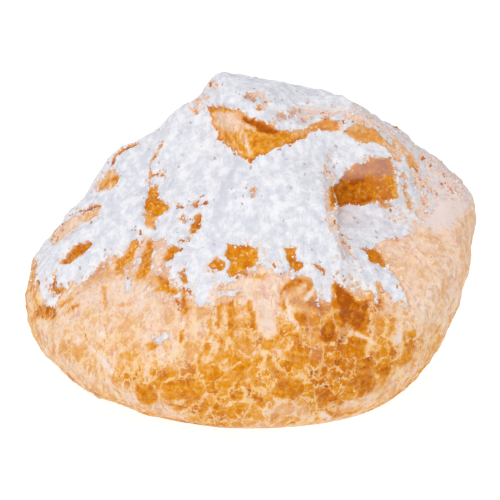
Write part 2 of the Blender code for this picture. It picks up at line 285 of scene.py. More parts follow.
    "stripe_left": Mark(
        (
            (134, 239), (142, 239), (138, 250), (128, 262), (122, 270), (122, 277), (118, 274), (114, 268),
            (120, 258), (128, 248),
        ),
        AREA, BARE, 0.68, 0.0,
    ),
    "stripe_right": Mark(
        ((148, 240), (154, 242), (153, 254), (150, 266), (144, 279), (136, 278), (138, 264), (142, 252)),
        AREA, BARE, 0.66, 0.0,
    ),
    "stripe_gap": Mark(((143, 246), (139, 256), (133, 270)), 1.6, BARE, 0.12, 0.4),
    "left_tongue": Mark(
        ((154, 240), (168, 240), (168, 256), (158, 272), (152, 274), (155, 258)),
        AREA, BARE, 0.28, 0.4,
    ),
    "slip": Mark(((170, 243), (181, 248), (174, 257), (165, 262), (164, 252)), AREA, BARE, 0.78, 0.0),
    "low_slip": Mark(
        ((156, 277), (168, 277), (172, 287), (181, 290), (177, 295), (164, 293), (155, 291), (158, 284)),
        AREA, BARE, 0.66, 0.0,
    ),
    "drip": Mark(((184, 272), (185, 283)), 2.2, BARE, GOLD, 0.0),
    "low_drip": Mark(((184, 290), (184, 310)), 2.8, BARE, DEEP_GOLD, 0.0),
    "centre_bare": Mark(
        (
            (230, 280), (238, 279), (244, 273), (251, 271), (257, 265), (262, 264), (266, 270), (272, 268),
            (277, 275), (283, 276), (285, 284), (293, 285), (300, 292), (300, 302), (222, 302), (222, 286),
        ),
        AREA, BARE, 0.25, 0.3,
    ),
    "left_of_centre": Mark(
        ((207, 265), (217, 257), (225, 261), (226, 266), (220, 271), (211, 271)),
        AREA, BARE, 0.64, 0.0,
    ),
    "centre_patch": Mark(
        (
            (224, 240), (229, 243), (245, 245), (258, 248), (258, 262), (250, 268), (242, 276), (230, 278),
            (226, 272), (230, 262), (225, 255), (227, 247),
        ),
        AREA, BARE, 0.62, 0.0, 1.5,
    ),
    # the brown hollow below the sugar on the right, and the rosy flap beside it
    "brown_bare": Mark(
        (
            (330, 287), (337, 282), (346, 290), (357, 296), (366, 290), (374, 289), (376, 308), (366, 330),
            (322, 332), (330, 305),
        ),
        AREA, BARE, None, 0.0, 1.5,
    ),
    "right_notch": Mark(((379, 286), (381, 302)), 4.5, BARE, 0.42, 0.15),
    "pink_flap": Mark(
        ((284, 298), (290, 279), (300, 276), (312, 279), (319, 298), (310, 318), (297, 312)),
        AREA, -0.7, 0.64, 0.2, 3.0,
    ),
    "flap_top_brown": Mark(((285, 289), (294, 282), (303, 282), (311, 287)), 2.8, KEPT, 0.84, 0.0),
    "flap_pink": Mark(((291, 296), (298, 290), (305, 287)), 3.4, KEPT, 0.30, 0.2),
    "flap_mauve": Mark(((309, 301), (317, 306), (323, 310)), 4.5, KEPT, 0.92, 0.1, 2.5),
    "flap_orange": Mark(((298, 316), (304, 321)), 4.5, KEPT, 0.84, 0.0),
    "flap_rope": Mark(((284, 294), (287, 305), (291, 315), (298, 328)), 1.5, KEPT, CREAM, 0.3, 1.0),
    # a painted shadow beside the cream rope
    "flap_rope_shadow": Mark(((280, 290), (283, 301), (285, 309)), 1.2, KEPT, 0.82, 0.0, 1.0),
    "flap_rope_short": Mark(((316, 286), (311, 293), (306, 300)), 1.4, KEPT, CREAM, 0.6, 1.0),
    "brown_speckled": Mark(((311, 326), (316, 352)), 7, KEPT, 0.74, 0.1, 5.0),
    "right_speckled": Mark(((372, 306), (374, 332)), 8, KEPT, 0.70, 0.10, 4.0),
    # gaps along the sugar's edge again, further right
    "under_centre": Mark(((250, 275), (266, 273), (264, 279), (252, 280)), AREA, BARE, 0.55, 0.0),
    "right_of_centre": Mark(
        ((283, 247), (296, 247), (296, 258), (303, 264), (299, 272), (289, 268), (285, 258)),
        AREA, BARE, 0.72, 0.0,
    ),
    "dotted": Mark(((313, 264), (320, 267), (324, 273)), 1.8, BARE, BROWN, 0.1),
    "right_patch": Mark(
        ((357, 249), (375, 249), (382, 255), (388, 267), (389, 273), (380, 266), (372, 262), (366, 255)),
        AREA, BARE, 0.74, 0.0,
    ),
    # the right side, with little sugar or none
    "right_bare": Mark(
        (
            (374, 243), (392, 240), (409, 236), (440, 200), (480, 200), (480, 310), (405, 302), (401, 284),
            (390, 270),
        ),
        AREA, BARE, 0.24, 0.3,
    ),
    "right_flecks": Mark(
        ((411, 172), (428, 172), (440, 195), (436, 215), (422, 222), (412, 200)),
        AREA, -0.03, 0.40, 0.6, 4.0,
    ),
    "right_dots": Mark(((401, 176), (405, 190), (409, 206), (415, 220)), 2.2, -0.10, 0.62, 0.2),
    "right_thin": Mark(
        ((410, 150), (426, 176), (432, 204), (424, 226), (450, 230), (480, 190), (440, 140)),
        AREA, -0.06, 0.22, 0.85, 6.0,
    ),
    "far_thin": Mark(
        ((346, 114), (372, 121), (400, 140), (430, 165), (440, 150), (400, 120), (360, 96)),
        AREA, -0.06, 0.22, 0.92,
    ),
    # sugar that reaches lower down
    "fringe_far_left": Mark(((129, 280), (128, 291)), 1.8, SUGARED),
    "fringe_left": Mark(((172, 262), (176, 276)), 4.0, SUGARED),
    "fringe_centre": Mark(((199, 262), (201, 298)), 6.0, SUGARED),
    "fringe_right": Mark(((325, 280), (327, 299)), 4.5, SUGARED),
    "fringe_far_right": Mark(((385, 270), (397, 298)), 5.0, SUGARED),
    "sugar_spot": Mark(((220, 295), (240, 292)), 2.6, SUGARED),
    "fallen_sugar": Mark(((153, 337), (160, 342), (166, 334)), 2.2, SUGARED),
    "fallen_sugar_low": Mark(((322, 414), (330, 418)), 2.2, KEPT, 0.1, 0.7),
    "pale_strip": Mark(
        ((399, 322), (403, 324), (401, 342), (393, 346), (391, 341), (396, 334)),
        AREA, KEPT, 0.18, 0.45,
    ),
    "pale_arch": Mark(((350, 334), (356, 331), (364, 337), (372, 343)), 1.5, KEPT, 0.05, 0.2),
}

# Where the glaze pooled on the lower crust: how far each blotch is baked, and its outline in pixels of the
# photo.
BLOTCHES = {
    "left_low": (0.64, (
        (136, 383), (143, 384), (151, 387), (157, 391), (158, 395), (157, 403), (146, 404), (140, 403),
        (135, 394),
    )),
    "left_wide": (0.66, (
        (163, 387), (169, 383), (177, 379), (185, 380), (189, 376), (197, 379), (201, 384), (205, 390),
        (203, 395), (196, 401), (188, 401), (182, 398), (175, 399), (167, 397),
    )),
    "left_upper": (0.60, (
        (153, 380), (161, 375), (169, 373), (177, 368), (180, 373), (173, 377), (166, 379), (158, 384),
    )),
    "left_foot": (0.72, (
        (167, 403), (175, 403), (183, 406), (189, 403), (187, 408), (183, 411), (178, 410), (172, 407),
    )),
    "left_light": (0.44, ((125, 350), (135, 347), (138, 355), (130, 360), (120, 358), (120, 353))),
    "left_lighter": (0.46, ((145, 344), (156, 344), (155, 349), (148, 351))),
    "foot_a": (0.64, ((203, 403), (209, 404), (211, 407), (206, 411), (201, 415), (197, 415))),
    "foot_b": (0.68, ((213, 405), (221, 404), (227, 408), (225, 412), (222, 417), (217, 412))),
    "foot_c": (0.64, ((228, 412), (233, 412), (233, 418), (227, 418))),
    "hook": (0.58, (
        (196, 357), (202, 351), (206, 352), (203, 358), (205, 365), (213, 365), (212, 371), (206, 375),
        (200, 373), (196, 366),
    )),
    "hook_top": (0.60, ((204, 341), (211, 345), (208, 353), (204, 350))),
    "hook_left": (0.62, ((184, 358), (192, 367), (185, 367))),
    "plate_left": (0.52, ((213, 354), (222, 355), (226, 361), (218, 364), (213, 361))),
    "drop": (0.72, ((220, 340), (227, 341), (225, 348))),
    "middle_left": (0.64, (
        (221, 374), (232, 368), (243, 366), (247, 375), (240, 384), (230, 380), (225, 378),
    )),
    "middle_low": (0.74, ((231, 396), (236, 391), (243, 392), (242, 398), (236, 403), (232, 401))),
    "middle_arm": (0.70, ((243, 381), (248, 382), (252, 389), (250, 395), (247, 389))),
    "middle_tile": (0.64, ((253, 376), (260, 376), (264, 383), (262, 387), (256, 387))),
    "middle_dot_a": (0.66, ((254, 355), (260, 353), (263, 359), (257, 362))),
    "middle_dot_b": (0.64, ((247, 355), (252, 360), (251, 366), (247, 363))),
    "middle_dot_c": (0.70, ((235, 357), (240, 358), (239, 363))),
    "plate_middle": (0.53, ((261, 344), (269, 340), (278, 343), (275, 350), (265, 351))),
    "middle_right": (0.66, (
        (266, 356), (272, 359), (278, 366), (284, 373), (286, 381), (282, 386), (276, 378), (271, 371),
        (265, 368),
    )),
    "leaf": (0.74, ((271, 390), (276, 386), (283, 392), (286, 398), (280, 401), (275, 396))),
    "olive": (0.72, ((257, 396), (264, 397), (264, 403), (261, 408), (257, 403))),
    "tall": (0.70, (
        (288, 336), (296, 332), (302, 337), (302, 344), (306, 351), (313, 362), (304, 366), (296, 369),
        (291, 363), (284, 354), (290, 350), (293, 344),
    )),
    "below_tall": (0.76, ((288, 385), (302, 385), (303, 394), (295, 397), (289, 391))),
    "front_wide": (0.74, (
        (311, 387), (327, 387), (334, 392), (343, 402), (340, 406), (331, 402), (324, 407), (318, 405),
        (317, 396),
    )),
    "streak_a": (0.62, ((217, 304), (222, 302), (223, 318), (220, 332), (217, 326))),
    "streak_b": (0.62, ((228, 303), (235, 303), (235, 322), (231, 341), (228, 330))),
    "streak_c": (0.72, ((246, 299), (250, 298), (254, 312), (256, 328), (251, 328), (248, 312))),
    "streak_d": (0.60, ((207, 321), (213, 320), (213, 333), (208, 334))),
    "streak_e": (0.66, ((179, 331), (184, 330), (181, 343), (178, 342))),
    "streak_f": (0.62, ((283, 322), (290, 324), (290, 330), (286, 331))),
    "front_deep": (0.76, ((274, 383), (288, 379), (302, 381), (305, 393), (292, 400), (278, 398))),
    "rosy_brown": (0.82, ((352, 312), (366, 308), (370, 318), (366, 330), (354, 332), (350, 322))),
    "arch_brown": (0.88, ((349, 337), (358, 335), (366, 341), (358, 344), (350, 343))),
    "arch_low": (0.80, ((342, 346), (356, 345), (368, 348), (364, 356), (350, 358), (342, 353))),
    "brown": (0.99, (
        (331, 285), (337, 282), (346, 291), (356, 301), (367, 300), (368, 306), (364, 315), (362, 326),
        (353, 331), (348, 325), (344, 320), (340, 317), (340, 309), (338, 302), (336, 293),
    )),
    "brown_deepest": (1.0, ((344, 298), (352, 296), (357, 301), (354, 308), (346, 307))),
    "brown_low": (0.97, ((328, 315), (335, 326), (336, 338), (328, 343), (321, 341), (320, 332), (324, 323))),
    "brown_foot_a": (0.84, ((325, 346), (334, 346), (333, 353), (326, 354))),
    "brown_foot_b": (0.78, ((326, 360), (339, 359), (338, 365), (328, 366))),
    "brown_foot_c": (0.74, ((328, 373), (340, 372), (339, 379), (330, 380))),
    "under_arch": (0.74, ((353, 337), (363, 337), (366, 346), (362, 354), (350, 355), (345, 349))),
    "right_wide": (0.74, (
        (358, 361), (367, 357), (375, 361), (372, 367), (374, 376), (380, 381), (371, 391), (361, 395),
        (355, 388), (344, 387), (343, 383), (355, 379), (355, 369),
    )),
    "right_tile": (0.74, ((374, 369), (381, 363), (389, 365), (389, 375), (381, 377), (375, 374))),
    "right_bar": (0.72, ((370, 352), (381, 351), (381, 356), (372, 357))),
    "right_dot": (0.76, ((388, 350), (393, 348), (397, 351), (394, 357), (389, 356))),
    "far_right": (0.64, ((406, 344), (414, 346), (411, 360), (400, 368), (396, 363), (403, 354))),
    "far_right_top": (0.62, ((405, 330), (415, 330), (414, 337), (408, 339))),
    "right_streak": (0.68, ((385, 334), (393, 319), (396, 316), (393, 329), (389, 337))),
}

# How the marks meet the crust, in pixels of the photo.
SWAY_PIXELS = 2.6       # how far their edges stray
PATH_STEP = 3.0         # between the spots at which a path is set down on the crust
HIDDEN_GAP = 4.0        # how far outside an area a hidden point is taken to be, at least
FAR_OUTSIDE = 50.0      # the same for a path that misses the crust
LEAST_SOLID = 0.5       # the least that counts of a shown point's real distance from a path
EDGE_SUGAR = 0.1        # the most painted sugar at the very edge of a bare mark

# How a blotch meets the crust, in pixels of the photo from its outline, positive inside it.
BLOTCH_FADE = (-1.3, 1.3)       # where the blotch begins and where it is whole
HALO_FADE = (-5.0, -2.5)        # the same for the lighter crust round it
RIM_GAP = 1.4                   # how far outside the outline its pale line runs
RIM_FADE = (2.2, 0.3)           # how far from the middle of that line it begins and is whole
RIM_STRENGTH = 0.45
RIM_LUMPS = 1.3                 # how much the sugar's lumps strengthen the line or break it
BLOTCH_CALM = 0.8               # how much calmer a blotch is than the crust round it

# Sizes of the noise that the paint on the crust follows.
STREAK_SIZE = 0.0028
LUMP_SIZE = 0.0022
DRIFT_SIZE = 0.012
BAY_SIZE = 0.008        # of the bays in the sugar's edge behind
GAP_SIZE = (0.0035, 0.0035, 0.0060)     # of the gaps in the sugar behind, across the flow and along it
SWAY_SIZE = 0.0024
FINE_SWAY_SIZE = 0.0011
FINE_SWAY_SHARE = 0.6

# How much each adds to the painted sugar, or takes from it.
STREAK_SUGAR = 2.5
BAY_SUGAR = 6.0
GAP_SUGAR = 14.0
UPWARD_SUGAR = 14.0     # the most that crust holds, for how far it faces up
DOWNWARD_SPARE = 0.05   # how far down crust may face and still hold some

FIRST_DUST = 0.25       # the most dust before any mark

# How much each adds to the painted bake.
FIRST_BAKE = 0.48       # everywhere
FOOT_BAKE = 0.10
UNDERSIDE_BAKE = 0.10
DRIFT_BAKE = 0.10
BEHIND_BAKE = 0.12      # to the drift and to the gaps, behind
HALO_BAKE = -0.06

DRIFT_HEIGHT = 0.006    # how far the drift moves the crackle's lower edge
DARK_CALM = 0.5         # how much of the crackle dark crust takes away

# Where the paint changes, from nothing at the first number to all of it at the second.
BEHIND_FADE = (0.0, 0.020)      # in depth, behind the middle
GAP_FADE = (0.30, 0.50)         # in noise
GAP_SUGAR_FADE = (11.0, 6.0)    # in painted sugar: only thin sugar has gaps
DUST_FADE = (-6.0, 0.0)         # in painted sugar
DARK_FADE = (0.70, 0.82)        # in bake: darker crust crackles less
FOOT_FADE = (0.034, 0.014)      # in height
CRACKLE_FADE = (0.044, 0.022)   # in height
CUT_FADE = (0.036, 0.042)       # in height, for the walls of the cut
STEEP_FADE = (0.45, 0.2)        # in how far the crust faces up, from -1 to 1
UNDERSIDE_FADE = (-0.6, -0.9)   # the same
HOLLOW_FADE = (-0.3, 0.7)       # in millimetres, inside the edge of a bare mark

SUGAR_RANGE = (-8.0, 5.0)
SUGAR_SLOPE = 0.55      # how fast the sugar thickens above its edge: the slower, the more ragged that edge is
MARK_SLOPE = 3.4        # the same for the edges of the traced marks
SCALE_WARP = 1.0        # how far the gaps between the crust's scales stray, as a share of the scales' width
SCALE_STRETCH = 1.55    # how much taller than wide the scales are
FLOW_RADIUS = 0.030     # how far from the middle the streaks of the flow are as wide as their noise
FLOW_STRETCH = 0.3      # how slowly the flow changes down the sides, as a share of its change across them
SEEN_SLACK = 0.0012     # how far below the crust the camera still sees a point
NEXT_TO_NOTHING = 1e-6

# Noise patterns of the finish and the relief: the size of their lumps in millimetres, detail and roughness.
NOISE = {
    # on the crust
    "fine": (0.5, 3.0, 0.7),
    "mottle": (1.5, 3.0, 0.55),
    "patch": (4.6, 3.0, 0.5),
    "streak": (1.7, 3.0, 0.6),
    "layers": (0.5, 3.0, 0.6),
    "blush": (2.6, 4.0, 0.55),
    "rosy": (1.9, 4.0, 0.65),
    "floury": (1.7, 4.0, 0.65),
    "flecks": (0.75, 3.0, 0.6),
    "spots": (1.5, 4.0, 0.65),
    "cracks": (1.4, 3.0, 0.6),
    "cracked": (3.0, 2.0, 0.5),
    "wide_veins": (3.4, 3.0, 0.6),
    "small_veins": (1.1, 2.0, 0.5),
    "crumbs": (0.8, 2.0, 0.5),
    # on the sugar
    # the sugar's painted light and shade: lighter on its heaps, greyer in its dips and pits
    "painted_light_and_shade": (2.4, 4.0, 0.65),
    "pits": (0.42, 2.0, 0.6),
    "thin_sugar": (3.0, 3.0, 0.6),
    # in the relief, where blisters are counted in their own size
    "blisters": (1.0, 3.0, 0.55),
    "wrinkles": (1.7, 2.0, 0.5),
    "powder": (1.6, 3.0, 0.6),
    # of what is strewn on top
    "clump_patches": (2.0, 3.0, 0.65),
    "clump_bumps": (0.35, 1.0, 0.5),
    "sugar_grain": (0.12, 2.0, 0.6),
    "sugar_shades": (1.5, 3.0, 0.6),
    "flake_patches": (5.0, 3.0, 0.6),
    "flake_bends": (0.8, 1.0, 0.5),
    "flake_spots": (0.5, 3.0, 0.6),
}

# Cells of the sugar, in millimetres across: of the holes near its edge, its flat facets and its pinholes.
HOLE_CELL = 1.2
FACET_CELL = 1.5
PINHOLE_CELL = 0.85

WHITE = (1.0, 1.0, 1.0, 1.0)
KEY_LIGHT_PLACE = (-0.22, -0.5, 0.85)
KEY_LIGHT_SIZE = 0.7

# What every colour setting has.
COLOR = {"subtype": "COLOR", "min": 0.0, "max": 1.0}


class PastryCrustSettings(bpy.types.PropertyGroup):
    """Sizes and shades of the crust."""

    grain: FloatProperty(
        name="Mesh grain", description="Length of the crust mesh's edges", default=0.00063, unit="LENGTH",
    )
    blister_size: FloatProperty(
        name="Blister size", description="Width of the crust's blisters", default=0.0032, unit="LENGTH",
    )
    blister_depth: FloatProperty(
        name="Blister depth", description="Height of the crust's blisters", default=0.0009, unit="LENGTH",
    )
    streak_depth: FloatProperty(
        name="Streak depth", description="Height of the wrinkles that run down the sides", default=0.0012,
        unit="LENGTH",
    )
    crack_cell: FloatProperty(
        name="Crackle size", description="Width of the glazed scales between the pale veins",
        default=0.0036, unit="LENGTH",
    )
    small_cell: FloatProperty(
        name="Small crackle size", description="Width of the small scales among them",
        default=0.0015, unit="LENGTH",
    )
    crack_height: FloatProperty(
        name="Vein height", description="How far the pale veins stand up", default=0.00022, unit="LENGTH",
    )
    sugar_depth: FloatProperty(
        name="Sugar depth", description="How thick the sugar lies on the crust",
        default=0.00035, unit="LENGTH",
    )
    hollow_depth: FloatProperty(
        name="Hollow depth", description="How far the golden gaps in the sugar lie below it", default=0.0005,
        unit="LENGTH",
    )
    dough: FloatVectorProperty(
        name="Dough", description="Bare dough that the oven hardly reached",
        default=tone(249, 226, 206), **COLOR,
    )
    peach: FloatVectorProperty(
        name="Pale crust", description="Lightly baked crust", default=tone(242, 207, 183), **COLOR,
    )
    rose: FloatVectorProperty(
        name="Rosy crust", description="Blotches on the lightly baked crust",
        default=tone(230, 168, 134), **COLOR,
    )
    cream: FloatVectorProperty(
        name="Creamy crust", description="Lightly baked crust without sugar",
        default=tone(247, 205, 162), **COLOR,
    )
    pale_gold: FloatVectorProperty(
        name="Light golden crust", description="Crust that starts to brown",
        default=tone(240, 186, 126), **COLOR,
    )
    honey: FloatVectorProperty(
        name="Honey crust", description="Half baked glaze", default=tone(232, 163, 70), **COLOR,
    )
    gold: FloatVectorProperty(
        name="Golden crust", description="Well baked, glazed crust", default=tone(227, 148, 14), **COLOR,
    )
    deep: FloatVectorProperty(
        name="Deep golden crust", description="Darker glaze", default=tone(212, 126, 0), **COLOR,
    )
    brown: FloatVectorProperty(
        name="Brown crust", description="Crust that caught the heat", default=tone(200, 110, 0), **COLOR,
    )
    dark: FloatVectorProperty(
        name="Dark crust", description="Edges that caught the most heat", default=tone(172, 84, 0), **COLOR,
    )
    vein: FloatVectorProperty(
        name="Veins", description="Threads of dough between the glazed scales",
        default=tone(247, 211, 158), **COLOR,
    )
    fleck: FloatVectorProperty(
        name="Flecks", description="Small baked flecks on pale crust", default=tone(216, 148, 84), **COLOR,
    )
    crack: FloatVectorProperty(
        name="Cracks", description="Thin cracks in the pale crust", default=tone(184, 128, 66), **COLOR,
    )
    film: FloatVectorProperty(
        name="Sugar film", description="Crust under a thin film of sugar",
        default=tone(234, 220, 217), **COLOR,
    )
    sugar: FloatVectorProperty(
        name="Sugar", description="Powdered sugar", default=tone(241, 241, 245), **COLOR,
    )
    # painted shade: the colour of the sugar where its painted shade is deepest, in its dips and pits
    sugar_in_painted_shade: FloatVectorProperty(
        name="Sugar in its dips", description="Powdered sugar where it lies lower",
        default=tone(212, 213, 223), **COLOR,
    )
    thin_sugar: FloatVectorProperty(
        name="Thin sugar", description="Sugar that the crust shines through",
        default=tone(236, 219, 206), **COLOR,
    )
    speck: FloatVectorProperty(
        name="Speck", description="Crust that shows through a pinhole in the sugar",
        default=tone(158, 128, 116), **COLOR,
    )


class PastrySugarSettings(bpy.types.PropertyGroup):
    """Loose clumps of sugar."""

    per_cm2: FloatProperty(
        name="Clumps per cm2", description="How many clumps lie on a square centimetre where there are most",
        default=95.0,
    )
    on_sugar: FloatProperty(
        name="On the sugar", description="Share of that number that lies on the closed sugar", default=0.22,
    )
    on_dust: FloatProperty(
        name="On dusty crust", description="Share of that number that lies on dusty crust", default=0.12,
    )
    clump_size: FloatProperty(
        name="Clump size", description="Radius of the largest clumps", default=0.00034, unit="LENGTH",
    )
    seed: IntProperty(name="Seed", description="Changes where the clumps lie", default=4)


class PastryFlakeSettings(bpy.types.PropertyGroup):
    """Loose flakes of crust."""

    per_cm2: FloatProperty(
        name="Flakes per cm2", description="How many flakes lie on a square centimetre where there are most",
        default=22.0,
    )
    flake_length: FloatProperty(
        name="Flake length", description="Length of the largest flakes", default=0.0013, unit="LENGTH",
    )
    seed: IntProperty(name="Seed", description="Changes where the flakes lie", default=9)


class PastryStageSettings(bpy.types.PropertyGroup):
    """Camera, floor and light."""

    elevation: FloatProperty(
        name="Camera height", description="How far above the horizon the camera stands",
        default=math.radians(25), subtype="ANGLE",
    )
    distance: FloatProperty(
        name="Camera distance", description="From the camera to the pastry", default=0.6, unit="LENGTH",
    )
    floor_size: FloatProperty(
        name="Floor size", description="Side of the floor", default=3.0, unit="LENGTH",
    )
    floor_color: FloatVectorProperty(
        name="Floor", description="Colour of the floor", default=(0.15, 0.15, 0.15), **COLOR,
    )
    floor_glow: FloatProperty(
        name="Floor glow", description="How far the floor shines by itself, as on a light table",
        default=0.93,
    )
    sky: FloatProperty(name="Room light", description="Strength of the light from all round", default=0.66)
    key: FloatProperty(name="Main light", description="Strength of the large light above", default=3.85)


class PhotoView:
    """Where the photo was taken from: turns points into its pixels, and its pixels into points."""

    def __init__(self, stage):
        self.back = Vector((0.0, -math.cos(stage.elevation), math.sin(stage.elevation)))
        self.place = AIM + self.back * stage.distance
        self.right = Vector((1.0, 0.0, 0.0))
        self.up = self.back.cross(self.right)
        self.focal = PIXELS_PER_METRE * stage.distance

    def pixels(self, points):
        """Where in the photo the points are."""
        away = points - np.array(self.place)
        depth = -away @ np.array(self.back)
        x = PHOTO_SIDE / 2 + away @ np.array(self.right) / depth * self.focal
        y = PHOTO_SIDE / 2 - away @ np.array(self.up) / depth * self.focal
        return np.stack([x, y], axis=1)

    def hit(self, ground, pixel):
        """The point of the crust that a pixel shows, or None beside it."""
        x = (pixel[0] - PHOTO_SIDE / 2) / self.focal
        y = (PHOTO_SIDE / 2 - pixel[1]) / self.focal
        ray = self.right * x + self.up * y - self.back
        return ground.ray_cast(self.place, ray.normalized())[0]

    def shows(self, ground, points):
        """Which points nothing hides from the camera."""
        seen = np.zeros(len(points), bool)
        for i, point in enumerate(points):
            away = Vector(point) - self.place
            distance = ground.ray_cast(self.place, away.normalized())[3]
            seen[i] = distance is None or distance > away.length - SEEN_SLACK
        return seen


def smooth_step(value, low, high):
    """0 at low, 1 at high and smooth between them, also where low is the higher one."""
    share = np.clip((value - low) / (high - low), 0.0, 1.0)
    return share * share * (3 - 2 * share)


def path_distance(points, path):
    """Each point's distance to a path of straight runs."""
    best = np.full(len(points), np.inf)
    for a, b in zip(path, path[1:]):
        along = b - a
        share = np.clip((points - a) @ along / max(along @ along, 1e-12), 0.0, 1.0)
        best = np.minimum(best, np.linalg.norm(points - a - share[:, None] * along, axis=1))
    return best


def inside_outline(points, outline):
    """Which points lie inside a flat outline."""
    inside = np.zeros(len(points), bool)
    x, y = points[:, 0], points[:, 1]
    for (x0, y0), (x1, y1) in zip(outline, np.roll(outline, -1, axis=0)):
        crosses = (y0 > y) != (y1 > y)
        with np.errstate(divide="ignore", invalid="ignore"):
            inside ^= crosses & (x < (x1 - x0) * (y - y0) / (y1 - y0) + x0)
    return inside


def noise_at(points, size, seed=0.0):
    """Smooth noise from about -1 to 1, with lumps of the given size, in metres, or a size for each axis."""
    scaled = points / np.array(size) + seed
    return np.array([noise.noise(Vector(p)) for p in scaled])


def read_vectors(collection, name):
    """A vector for each point of a mesh, as rows of an array."""
    flat = np.zeros(len(collection) * 3, np.float32)
    collection.foreach_get(name, flat)
    return flat.reshape(-1, 3).astype(float)


class Nodes:
    """Adds nodes to a tree, of those that materials and geometry trees both have."""

    def __init__(self, tree):
        self.tree = tree

    def add(self, kind, inputs=None, **settings):
        node = self.tree.nodes.new(kind)
        for name, value in settings.items():
            setattr(node, name, value)
        for key, value in (inputs or {}).items():
            self.feed(node.inputs[key], value)
        return node

    def feed(self, socket, value):
        """Link a socket, or set its own value. A colour is given as its red, green and blue."""
        if isinstance(value, bpy.types.NodeSocket):
            self.tree.links.new(value, socket)
        elif socket.type == "RGBA":
            socket.default_value = (*value, 1.0)
        else:
            socket.default_value = value

    def math(self, operation, a, b=0.0, c=0.0):
        return self.add("ShaderNodeMath", {0: a, 1: b, 2: c}, operation=operation).outputs[0]

    def times(self, a, b):
        return self.math("MULTIPLY", a, b)

    def times_plus(self, a, factor, rest):
        return self.math("MULTIPLY_ADD", a, factor, rest)

    def plus(self, a, b):
        return self.math("ADD", a, b)

    def minus(self, a, b):
        return self.math("SUBTRACT", a, b)

    def larger(self, a, b):
        return self.math("MAXIMUM", a, b)

    def vector(self, operation, a, b):
        return self.add("ShaderNodeVectorMath", {0: a, 1: b}, operation=operation).outputs[0]

    def scale(self, a, factor):
        return self.add("ShaderNodeVectorMath", {0: a, "Scale": factor}, operation="SCALE").outputs[0]

    def axis(self, vector, index):
        """A vector's x, y or z, for index 0, 1 or 2."""
        return self.add("ShaderNodeSeparateXYZ", {0: vector}).outputs[index]

    def step(self, value, low, high):
        """0 at low, 1 at high and smooth between them, also where low is the higher one."""
        inputs = {"Value": value, "From Min": low, "From Max": high}
        return self.add("ShaderNodeMapRange", inputs, interpolation_type="SMOOTHSTEP").outputs[0]

    def noise_texture(self, place, size, detail, roughness):
        inputs = {"Vector": place, "Scale": 1 / size, "Detail": detail, "Roughness": roughness}
        return self.add("ShaderNodeTexNoise", inputs)

    def cloud(self, place, pattern):
        """One of the patterns of NOISE, about 0 and mostly within 0.3 of it."""
        return self.minus(self.noise_texture(place, *NOISE[pattern]).outputs[0], 0.5)

    def tangle(self, place, size, detail, roughness):
        """Noise about 0 in all three directions, as a vector."""
        texture = self.noise_texture(place, size, detail, roughness)
        return self.vector("SUBTRACT", texture.outputs[1], (0.5, 0.5, 0.5))

    def scales(self, place, size):
        """Distance to the nearest gap between scales, in the units of place, and a number for each scale."""
        sway = self.tangle(place, 0.8 * size, 3.0, 0.55)
        moved = self.vector("ADD", place, self.scale(sway, SCALE_WARP * size))
        squeezed = self.vector("MULTIPLY", moved, (1.0, 1.0, 1 / SCALE_STRETCH))
        inputs = {"Vector": squeezed, "Scale": 1 / size}
        gap = self.add("ShaderNodeTexVoronoi", inputs, feature="DISTANCE_TO_EDGE").outputs[0]
        color = self.add("ShaderNodeTexVoronoi", inputs, feature="F1").outputs[1]
        return self.times(gap, size), self.axis(color, 0)


class ShaderNodes(Nodes):
    """Adds nodes to a material."""

    def blend(self, share, a, b):
        """Colour a at share 0, colour b at 1."""
        return self.add("ShaderNodeMix", {0: share, 6: a, 7: b}, data_type="RGBA").outputs[2]

    def ramp(self, share, shades):
        """The colour at share, from colours at rising places between 0 and 1."""
        node = self.add("ShaderNodeValToRGB", {0: share})
        elements = node.color_ramp.elements
        while len(elements) < len(shades):
            elements.new(0.5)
        for element, (position, color) in zip(elements, shades):
            element.position = position
            element.color = (*color, 1.0)
        return node.outputs[0]

    def object_mm(self):
        """Each spot's place on the object, in millimetres."""
        return self.scale(self.add("ShaderNodeTexCoord").outputs["Object"], 1 / MM)

    def painted(self, name, output="Fac"):
        """What was painted on the crust under a name."""
        return self.add("ShaderNodeAttribute", attribute_name=name).outputs[output]

    def surface(self, color, roughness, shine, height, bump_strength, bump_depth):
        """End a material: its colour, its roughness, how much it mirrors, and its fine bumps, in metres."""
        inputs = {"Strength": bump_strength, "Distance": bump_depth, "Height": height}
        bump = self.add("ShaderNodeBump", inputs).outputs[0]
        shader = self.add("ShaderNodeBsdfPrincipled", {
            "Base Color": color, "Roughness": roughness, "Normal": bump, "Specular IOR Level": shine,
        })
        self.add("ShaderNodeOutputMaterial", {"Surface": shader.outputs[0]})


